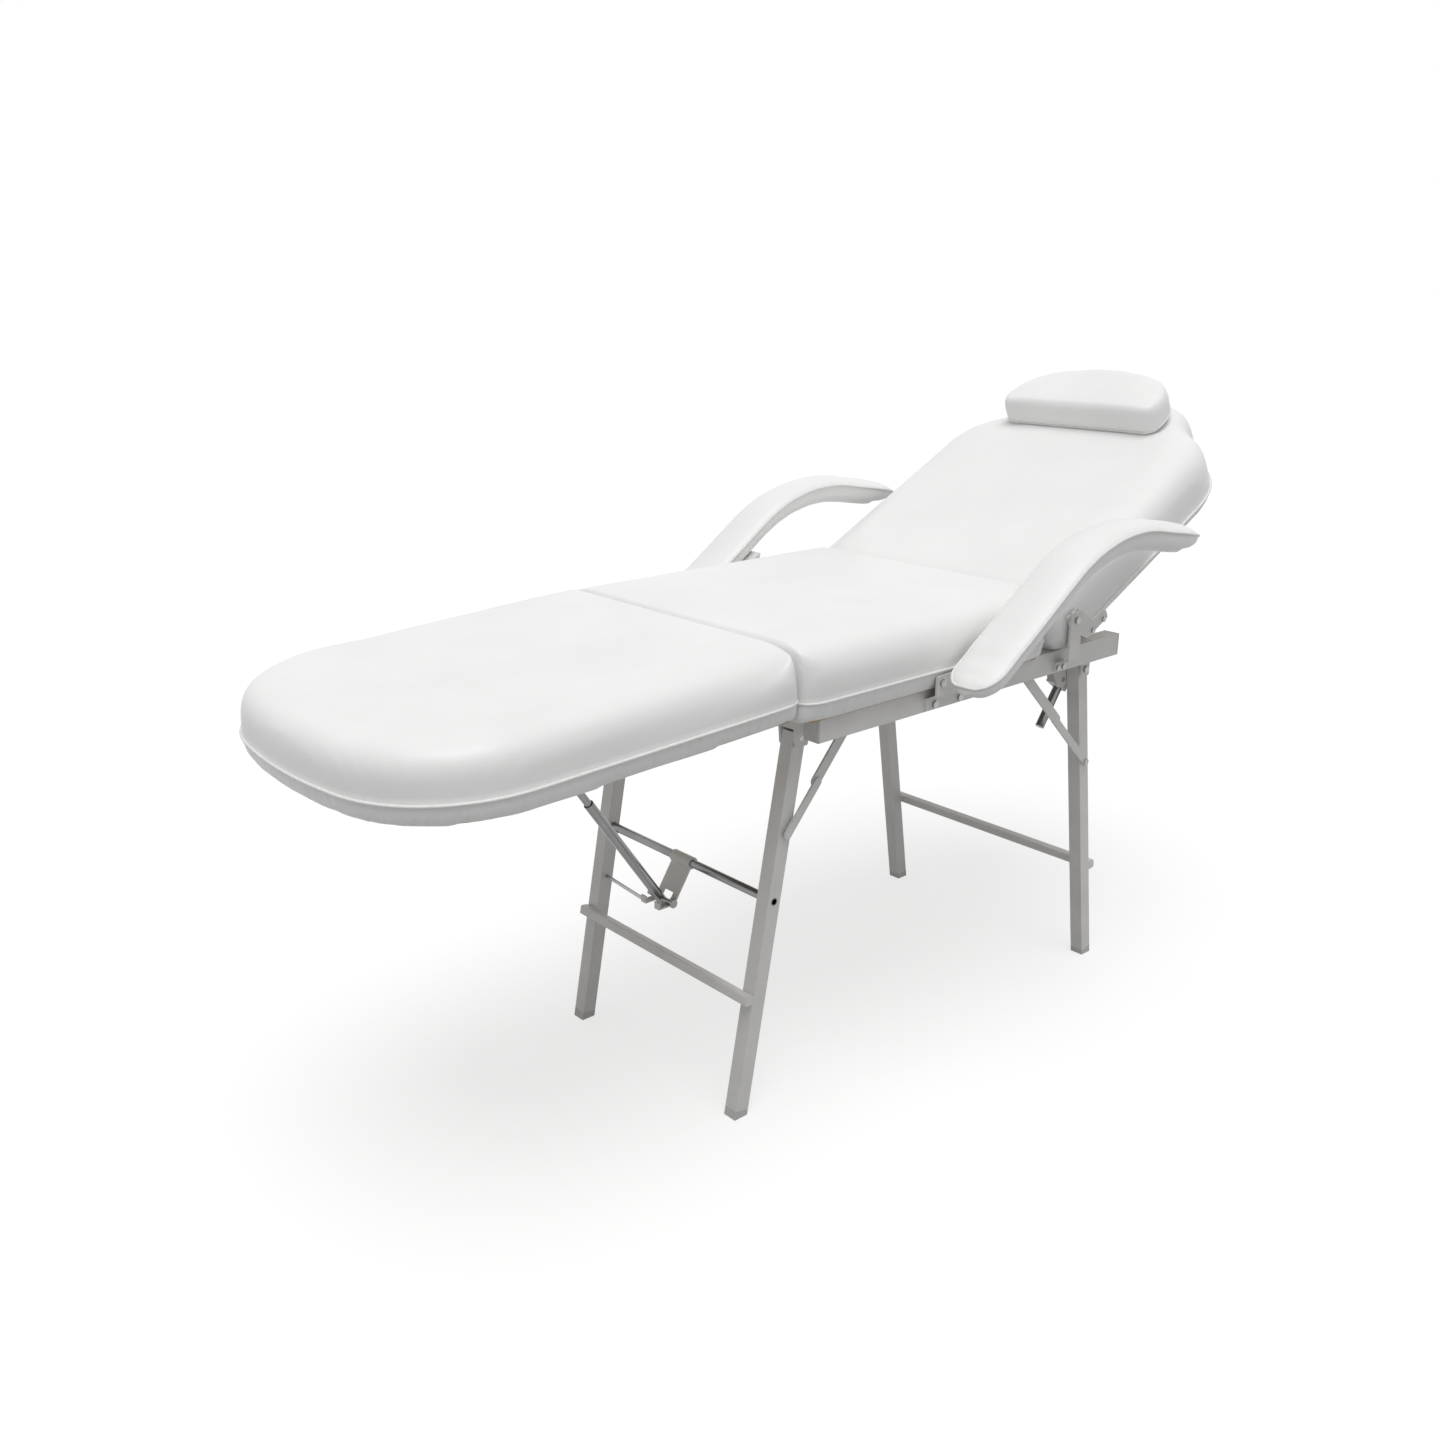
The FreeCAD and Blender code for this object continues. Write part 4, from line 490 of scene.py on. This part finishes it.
def inflate(thing, swell, held, settings):
    """Blow up the cover by cloth pressure where it isn't held, and cap and even out the movement."""
    scene = bpy.context.scene
    pins = thing.vertex_groups.new(name="held")
    start = [point.co.copy() for point in thing.data.vertices]
    for index, place in enumerate(start):
        weight = held(place)
        if weight > 0:
            pins.add([index], weight, "REPLACE")
    cloth = thing.modifiers.new("Stuffing", "CLOTH")
    cloth.settings.vertex_group_mass = "held"
    cloth.settings.use_pressure = True
    cloth.settings.uniform_pressure_force = settings.pressure
    cloth.settings.effector_weights.gravity = 0.0
    cloth.settings.quality = 4
    cloth.settings.tension_stiffness = cloth.settings.compression_stiffness = 18.0
    cloth.settings.bending_stiffness = 2.0
    for step in range(1, settings.frames + 1):
        scene.frame_set(step)
    blown = evaluated_mesh(thing)
    thing.modifiers.clear()
    thing.vertex_groups.clear()
    scene.frame_set(1)
    moves = bmesh.new()
    moves.from_mesh(thing.data)
    for vert, first, last in zip(moves.verts, start, blown.vertices):
        vert.co = last.co - first
        if vert.co.length > swell:
            vert.co *= swell / vert.co.length
    smooth(moves, settings.evening)
    for point, first, move in zip(thing.data.vertices, start, moves.verts):
        point.co = first + move.co
    moves.free()
    bpy.data.meshes.remove(blown)


def eased(value, first, last):
    """0 before first, 1 after last, smooth between."""
    share = min(max((value - first) / (last - first), 0.0), 1.0)
    return share * share * (3 - 2 * share)


def hold_below(direction, level, stretch):
    """Weight that holds a cover up to a level, and lets go over a stretch above it."""

    def held(place):
        return 1.0 - eased(place.dot(direction) - level, *stretch)

    return held


def pad_hold(normal, low, ends):
    """Weight that holds a pad's underside and the ends that meet another pad."""
    under = hold_below(normal, low, PAD_HOLD)

    def held(place):
        weight = under(place)
        for point, outward in ends:
            weight = max(weight, 1.0 - eased((point - place).dot(outward), *END_HOLD))
        return weight

    return held


def drawn_out(inset, roll, tight, zone):
    """How far a point moves towards its edge when a wide roll is drawn to a tight one."""
    if inset < roll:
        return inset * (1 - tight / roll)
    return max((roll - tight) * (zone - inset) / (zone - roll), 0.0)


def close_creases(pad, creases, half_width, settings):
    """Tighten the roll of the edges that meet another pad, and draw them towards it."""
    zone = settings.crease_zone
    for vert in pad.data.vertices:
        for point, outward, reach in creases:
            inset = (point - vert.co).dot(outward)
            if inset < zone:
                move = drawn_out(inset, settings.edge_roll, settings.crease_roll, zone)
                move += reach(vert.co) * (zone - inset) / zone
                closing = eased(half_width - abs(vert.co.y), 0.0, settings.crease_corner)
                vert.co += outward * (move * closing)


def flattened(place, normal):
    """A place seen along the normal, on the plane through the origin."""
    return place - normal * place.dot(normal)


def outline_tree(ring, normal):
    """Search tree of a ring's points, seen along the normal."""
    tree = KDTree(len(ring))
    for index, place in enumerate(ring):
        tree.insert(flattened(place, normal), index)
    tree.balance()
    return tree


def crisp_edge(pad, ring, normal, roll, tight, zone):
    """Draw the roll round a cushion's edge to a tight one."""
    flat = [flattened(place, normal) for place in ring]
    tree = outline_tree(ring, normal)
    for vert in pad.data.vertices:
        here = flattened(vert.co, normal)
        index = tree.find(here)[1]
        nearest = []
        for first, last in ((index - 1, index), (index, (index + 1) % len(flat))):
            share = intersect_point_line(here, flat[first], flat[last])[1]
            nearest.append(flat[first].lerp(flat[last], min(max(share, 0.0), 1.0)))
        edge = min(nearest, key=lambda place: (place - here).length)
        gap = (edge - here).length
        if NO_GAP < gap < zone:
            vert.co += (edge - here) * (drawn_out(gap, roll, tight, zone) / gap)


def turn_hem(pad, ring, normal, low, hem, plan):
    """Turn the cover under the board's edge, hang its skirt, and bare the middle of the board."""
    outline = outline_tree(ring, normal)
    for vert in pad.data.vertices:
        under = 1.0 - eased(vert.co.dot(normal) - low, *HEM_HEIGHT)
        if under > 0:
            gap = outline.find(flattened(vert.co, normal))[2]
            inside = eased(gap, hem - HEM_FADE, hem + HEM_FADE)
            hanging = 1.0 - eased(gap, *SKIRT_WIDTH)
            for point, outward in plan.ends:
                hanging *= eased((point - vert.co).dot(outward), *SKIRT_START)
            drop = plan.hem_drop + (plan.skirt_drop - plan.hem_drop) * hanging
            vert.co += normal * (under * ((BOARD_LIFT + drop) * inside - drop))


def welt_ring(pad, normal, level):
    """Points of a pad's outline at one height along its normal, in order."""
    mesh = evaluated_mesh(pad)
    ring = bmesh.new()
    ring.from_mesh(mesh)
    bpy.data.meshes.remove(mesh)
    bmesh.ops.bisect_plane(
        ring, geom=ring.verts[:] + ring.edges[:] + ring.faces[:], plane_co=normal * level, plane_no=normal,
        clear_inner=True, clear_outer=True)
    return longest_loop(ring)


def crown_edge(node):
    """Points of the edge round a solid's upper face, in order."""
    crown = bmesh.new()
    crown.from_mesh(NODES[node].data)
    bmesh.ops.remove_doubles(crown, verts=crown.verts, dist=MERGE_DISTANCE)
    rest = [face for face in crown.faces if face.normal.z < CROWN_FACE_RISE]
    bmesh.ops.delete(crown, geom=rest, context="FACES")
    inner = [edge for edge in crown.edges if not edge.is_boundary]
    bmesh.ops.delete(crown, geom=inner, context="EDGES")
    return longest_loop(crown)


def laid_on(pad, loop):
    """The places on a pad's cover nearest to a loop's points."""
    graph = bpy.context.evaluated_depsgraph_get()
    cover = pad.evaluated_get(graph)
    return [cover.closest_point_on_mesh(place)[1] for place in loop]


def longest_loop(ring):
    """The longest chain of joined points in a mesh of edges; the mesh is freed."""
    loops = []
    used = set()
    for start in ring.verts:
        if start in used:
            continue
        chain = []
        here = start
        while here:
            used.add(here)
            chain.append(here.co.copy())
            neighbours = [edge.other_vert(here) for edge in here.link_edges]
            here = next((vert for vert in neighbours if vert not in used), None)
        loops.append(chain)
    ring.free()
    return max(loops, key=lambda loop: sum((a - b).length for a, b in zip(loop, loop[1:])))


def spaced(loop, step):
    """Points of a closed loop, evenly spaced and slightly rounded."""
    lengths = [(stop - start).length for start, stop in zip(loop, loop[1:] + loop[:1])]
    count = int(sum(lengths) / step)
    points = []
    edge, passed = 0, 0.0
    for index in range(count):
        along = sum(lengths) * index / count
        while along > passed + lengths[edge]:
            passed += lengths[edge]
            edge += 1
        share = (along - passed) / lengths[edge]
        points.append(loop[edge].lerp(loop[(edge + 1) % len(loop)], share))
    for _ in range(LOOP_ROUNDS):
        before = points[-1:] + points[:-1]
        after = points[1:] + points[:1]
        points = [(first + here * 2 + last) / 4 for first, here, last in zip(before, points, after)]
    return points


def welt_tube(name, loop, diameter, normal):
    """Round piping along a closed loop, with its inner edge sunk in the cover."""
    curve = bpy.data.curves.new(name, "CURVE")
    curve.dimensions = "3D"
    curve.bevel_depth = diameter / 2
    curve.bevel_resolution = 3
    curve.resolution_u = 2
    spline = curve.splines.new("NURBS")
    points = spaced(loop, WELT_STEP)
    after = points[1:] + points[:1]
    turn = math.copysign(1.0, sum((a.cross(b) for a, b in zip(points, after)), Vector()).dot(normal))
    spline.points.add(len(points) - 1)
    for index, point in enumerate(spline.points):
        outward = (after[index] - points[index - 1]).cross(normal).normalized() * turn
        point.co = (*(points[index] + outward * diameter * WELT_STAND_OFF), 1.0)
    spline.use_cyclic_u = True
    spline.order_u = 3
    draft = new_object(name, curve)
    bpy.context.view_layer.update()
    mesh = evaluated_mesh(draft)
    bpy.data.objects.remove(draft)
    bpy.data.curves.remove(curve)
    mesh.name = name
    mesh.shade_smooth()
    return new_object(name, mesh)


def mark_welt(pad, normal, level):
    """Keep how far below the welt each point lies, for the puckers there."""
    gap = pad.data.attributes.new("welt_gap", "FLOAT", "POINT")
    for index, vert in enumerate(pad.data.vertices):
        gap.data[index].value = level - vert.co.dot(normal)


def finished_pad(pad, body, node_names, material):
    """Dress a padded piece, tie it to its body, and hide the solids it stands for."""
    dress(pad, material)
    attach(pad, body)
    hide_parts(*node_names)


def finished_welt(name, loop, diameter, normal, body, settings):
    """Piping along a loop, tied to its body."""
    tube = welt_tube(name, loop, diameter, normal)
    dress(tube, bpy.data.materials.get("piping_vinyl") or piping_material(settings.piping))
    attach(tube, body)


def piped_pad(name, plan, settings):
    """A large pad: its cover drawn over the foam and round the board's edge, with a welt round its side."""
    normal = board_normal(plan.board)
    low, high = span(plan.cushion, normal)
    held = pad_hold(normal, low, plan.ends)
    pad = stuffed(name, [plan.cushion, plan.board], settings.pad_voxel, settings.pad_swell, held, settings)
    close_creases(pad, plan.creases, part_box(plan.cushion)[1].y, settings)
    level = low + (high - low) * plan.welt_height
    turn_hem(pad, welt_ring(pad, normal, level), normal, low, settings.hem, plan)
    mark_welt(pad, normal, level)
    vinyl = vinyl_material(name + "_vinyl", settings.vinyl, normal)
    finished_pad(pad, plan.body, [plan.cushion], vinyl)
    ring = welt_ring(pad, normal, level)
    finished_welt(name + "_welt", ring, settings.welt, normal, plan.body, settings)


def nose_room(edge_x, room):
    """How far the seat can reach over the back's rolled end and stay clear of it at its most upright."""
    hinge = joint_named("backrest_recline")
    axis = Vector(hinge["pos_m"])
    normal = board_normal("back_board")
    low, high = span("back_cushion", normal)
    radius = (high - low) / 2
    upright = math.atan2(-normal.x, normal.z) + math.radians(hinge["range_deg"][1])
    knee = radius * math.cos(upright)

    def reach(place):
        rise = min(max(place.z - axis.z, 0.0), radius)
        if rise < knee:
            back = math.sqrt(radius ** 2 - rise ** 2)
        else:
            back = radius * math.sin(upright) - (rise - knee) / math.tan(upright)
        return max(axis.x - back - room - edge_x, 0.0)

    return reach


class BED_OT_seat_pad(bpy.types.Operator):
    """Make the seat pad, drawn close to the foot and back pads."""

    bl_idname = "bed.seat_pad"
    bl_label = "Seat pad"

    def execute(self, context):
        settings = context.scene.bed_covers
        low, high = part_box("seat_cushion")
        rear, front = Vector((high.x, 0, 0)), Vector((low.x, 0, 0))
        headward = Vector((1, 0, 0))
        creases = (
            (rear, headward, nose_room(high.x, settings.crease_room)),
            (front, -headward, lambda place: settings.foot_crease_reach),
        )
        plan = PadPlan(
            cushion="seat_cushion", board="seat_board", body="seat_frame",
            ends=((rear, headward), (front, -headward)), creases=creases,
            welt_height=settings.welt_height, hem_drop=settings.hem_drop, skirt_drop=settings.skirt_drop)
        piped_pad("seat_pad", plan, settings)
        return {"FINISHED"}


class BED_OT_foot_pad(bpy.types.Operator):
    """Make the foot pad, drawn close to the seat at its hinge end."""

    bl_idname = "bed.foot_pad"
    bl_label = "Foot pad"

    def execute(self, context):
        settings = context.scene.bed_covers
        headward = headward_along(board_normal("foot_board"))
        end = headward * span("foot_cushion", headward)[1]
        plan = PadPlan(
            cushion="foot_cushion", board="foot_board", body="footrest", ends=((end, headward),),
            creases=((end, headward, lambda place: settings.foot_crease_reach),),
            welt_height=settings.welt_height, hem_drop=settings.hem_drop, skirt_drop=settings.skirt_drop)
        piped_pad("foot_pad", plan, settings)
        return {"FINISHED"}


class BED_OT_back_pad(bpy.types.Operator):
    """Make the back pad, with its rolled hinge end held."""

    bl_idname = "bed.back_pad"
    bl_label = "Back pad"

    def execute(self, context):
        settings = context.scene.bed_covers
        headward = headward_along(board_normal("back_board"))
        nose = headward * span("back_cushion", headward)[0]
        plan = PadPlan(
            cushion="back_cushion", board="back_board", body="backrest", ends=((nose, -headward),),
            creases=(), welt_height=settings.back_welt_height, hem_drop=settings.back_hem_drop,
            skirt_drop=settings.back_hem_drop)
        piped_pad("back_pad", plan, settings)
        return {"FINISHED"}


class BED_OT_pillow(bpy.types.Operator):
    """Make the loose half-moon pillow with its boxed edge."""

    bl_idname = "bed.pillow"
    bl_label = "Pillow"

    def execute(self, context):
        settings = context.scene.bed_covers
        normal = board_normal("back_board")
        low, high = span("pillow", normal)
        held = hold_below(normal, low, PILLOW_HOLD)
        pad = stuffed("head_pillow", ["pillow"], settings.small_voxel, settings.small_swell, held, settings)
        middle = welt_ring(pad, normal, (low + high) / 2)
        crisp_edge(pad, middle, normal, settings.pillow_roll, settings.pillow_edge, settings.pillow_zone)
        mark_welt(pad, normal, low)
        vinyl = vinyl_material("pillow_vinyl", settings.vinyl, normal)
        finished_pad(pad, "pillow", ["pillow"], vinyl)
        seam = welt_ring(pad, normal, low + (high - low) * settings.pillow_seam)
        finished_welt("pillow_welt", seam, settings.pillow_welt, normal, "pillow", settings)
        return {"FINISHED"}


class BED_OT_armrests(bpy.types.Operator):
    """Make the armrests, wrapped in vinyl round their bent boards, with a welt round the crown."""

    bl_idname = "bed.armrests"
    bl_label = "Armrests"

    def execute(self, context):
        settings = context.scene.bed_covers
        material = vinyl_material("armrest_vinyl", settings.vinyl, UPWARD)
        for side in SIDES:
            solids = ["armrest_cushion_" + side, "armrest_board_" + side]
            held = hold_below(UPWARD, span("armrest_bracket_" + side, UPWARD)[1], ARMREST_HOLD)
            pad = stuffed(
                "armrest_" + side, solids, settings.small_voxel, settings.small_swell, held, settings)
            mark_welt(pad, UPWARD, span(solids[1], UPWARD)[0])
            finished_pad(pad, "seat_frame", solids, material)
            edge = laid_on(pad, spaced(crown_edge(solids[0]), CROWN_STEP))
            finished_welt("armrest_welt_" + side, edge, settings.welt, UPWARD, "seat_frame", settings)
        return {"FINISHED"}


class BED_OT_frame_finish(bpy.types.Operator):
    """Paint the frame, plate its fittings, and finish its boards and caps."""

    bl_idname = "bed.frame_finish"
    bl_label = "Frame finish"

    def execute(self, context):
        settings = context.scene.bed_finish
        finishes = {
            "frame_paint": paint_material(settings.paint),
            "zinc_steel": metal_material(
                "zinc_plate", settings.zinc, smoothest=0.28, roughest=0.45, lines=(300.0, 60.0, 300.0)),
            "bright_steel": metal_material(
                "bright_steel", settings.bright, smoothest=0.16, roughest=0.30,
                lines=(420.0, 420.0, 420.0)),
            "plywood": plywood_material(settings.plywood),
            "grey_plastic": plastic_material(settings.plastic),
        }
        for name, thing in NODES.items():
            slot = MATERIAL_SLOT[name]
            if slot in finishes:
                dress(thing, finishes[slot])
        return {"FINISHED"}


class BED_OT_studio(bpy.types.Operator):
    """Set up the pale floor, the soft light and the camera."""

    bl_idname = "bed.studio"
    bl_label = "Studio"

    def execute(self, context):
        settings = context.scene.bed_studio
        scene = context.scene
        scene.view_settings.view_transform = "Standard"
        self.light_room(scene, settings)
        self.lay_floor(settings)
        lamp = bpy.data.lights.new("overhead", "SUN")
        lamp.energy = settings.key
        lamp.angle = settings.key_width
        overhead = new_object("overhead", lamp)
        overhead.rotation_euler = settings.key_tilt
        lens = bpy.data.cameras.new("photo_camera")
        lens.lens = settings.lens
        lens.sensor_width = 36.0
        camera = new_object("photo_camera", lens)
        camera.location = settings.eye
        camera.rotation_euler = (math.pi / 2 - settings.pitch, 0.0, settings.heading)
        scene.camera = camera
        return {"FINISHED"}

    def light_room(self, scene, settings):
        """White room: white to the eye and in reflections, soft light on everything else."""
        world = bpy.data.worlds.new("white_room")
        world.use_nodes = True
        nodes, links = world.node_tree.nodes, world.node_tree.links
        nodes.clear()
        output = nodes.new("ShaderNodeOutputWorld")
        blend = nodes.new("ShaderNodeMixShader")
        for socket, strength in ((1, settings.ambient), (2, 1.0)):
            background = nodes.new("ShaderNodeBackground")
            background.inputs["Color"].default_value = WHITE
            background.inputs["Strength"].default_value = strength
            links.new(background.outputs["Background"], blend.inputs[socket])
        links.new(seen_directly(nodes, links), blend.inputs["Fac"])
        links.new(blend.outputs["Shader"], output.inputs["Surface"])
        scene.world = world

    def lay_floor(self, settings):
        """Round pale floor that keeps the bed's soft shadow."""
        disc = bmesh.new()
        bmesh.ops.create_circle(disc, cap_ends=True, segments=96, radius=settings.floor_radius)
        mesh = bpy.data.meshes.new("studio_floor")
        disc.to_mesh(mesh)
        disc.free()
        floor = new_object("studio_floor", mesh)
        material = bpy.data.materials.new("pale_floor")
        material.use_nodes = True
        nodes, links = material.node_tree.nodes, material.node_tree.links
        nodes.clear()
        output = nodes.new("ShaderNodeOutputMaterial")
        matt = nodes.new("ShaderNodeBsdfDiffuse")
        matt.inputs["Color"].default_value = (settings.floor, settings.floor, settings.floor, 1.0)
        glow = nodes.new("ShaderNodeEmission")
        glow.inputs["Color"].default_value = WHITE
        lift = nodes.new("ShaderNodeMath")
        lift.operation = "MULTIPLY"
        lift.inputs[1].default_value = settings.floor_lift
        links.new(seen_directly(nodes, links), lift.inputs[0])
        links.new(lift.outputs["Value"], glow.inputs["Strength"])
        both = nodes.new("ShaderNodeAddShader")
        links.new(matt.outputs["BSDF"], both.inputs[0])
        links.new(glow.outputs["Emission"], both.inputs[1])
        links.new(both.outputs["Shader"], output.inputs["Surface"])
        dress(floor, material)


def seen_directly(nodes, links):
    """1 for rays from the eye and for mirror or glass rays, else 0."""
    rays = nodes.new("ShaderNodeLightPath")
    total = rays.outputs["Is Camera Ray"]
    for name in ("Is Glossy Ray", "Is Transmission Ray"):
        either = nodes.new("ShaderNodeMath")
        either.operation = "MAXIMUM"
        links.new(total, either.inputs[0])
        links.new(rays.outputs[name], either.inputs[1])
        total = either.outputs["Value"]
    return total


class BED_PT_panel(bpy.types.Panel):
    """Steps that make the bed, in order, and its settings."""

    bl_idname = "BED_PT_panel"
    bl_label = "Facial Massage Bed"
    bl_space_type = "VIEW_3D"
    bl_region_type = "UI"
    bl_category = "Bed"

    def draw(self, context):
        for operator in OPERATORS:
            self.layout.operator(operator.bl_idname)
        for settings in (context.scene.bed_covers, context.scene.bed_finish, context.scene.bed_studio):
            column = self.layout.column(align=True)
            for name in settings.__annotations__:
                column.prop(settings, name)


OPERATORS = (
    BED_OT_studio, BED_OT_frame_finish, BED_OT_seat_pad, BED_OT_foot_pad, BED_OT_back_pad, BED_OT_pillow,
    BED_OT_armrests)
CLASSES = (CoverSettings, FinishSettings, StudioSettings) + OPERATORS + (BED_PT_panel,)


def register():
    """Make the settings, steps and panel known to Blender."""
    for entry in CLASSES:
        bpy.utils.register_class(entry)
    bpy.types.Scene.bed_covers = PointerProperty(type=CoverSettings)
    bpy.types.Scene.bed_finish = PointerProperty(type=FinishSettings)
    bpy.types.Scene.bed_studio = PointerProperty(type=StudioSettings)


def unregister():
    """Take the settings, steps and panel away again."""
    del bpy.types.Scene.bed_studio
    del bpy.types.Scene.bed_finish
    del bpy.types.Scene.bed_covers
    for entry in reversed(CLASSES):
        bpy.utils.unregister_class(entry)


def main():
    """Make the whole bed."""
    register()
    bpy.ops.bed.studio()
    bpy.ops.bed.frame_finish()
    bpy.ops.bed.seat_pad()
    bpy.ops.bed.foot_pad()
    bpy.ops.bed.back_pad()
    bpy.ops.bed.pillow()
    bpy.ops.bed.armrests()


if __name__ == "__main__":
    main()
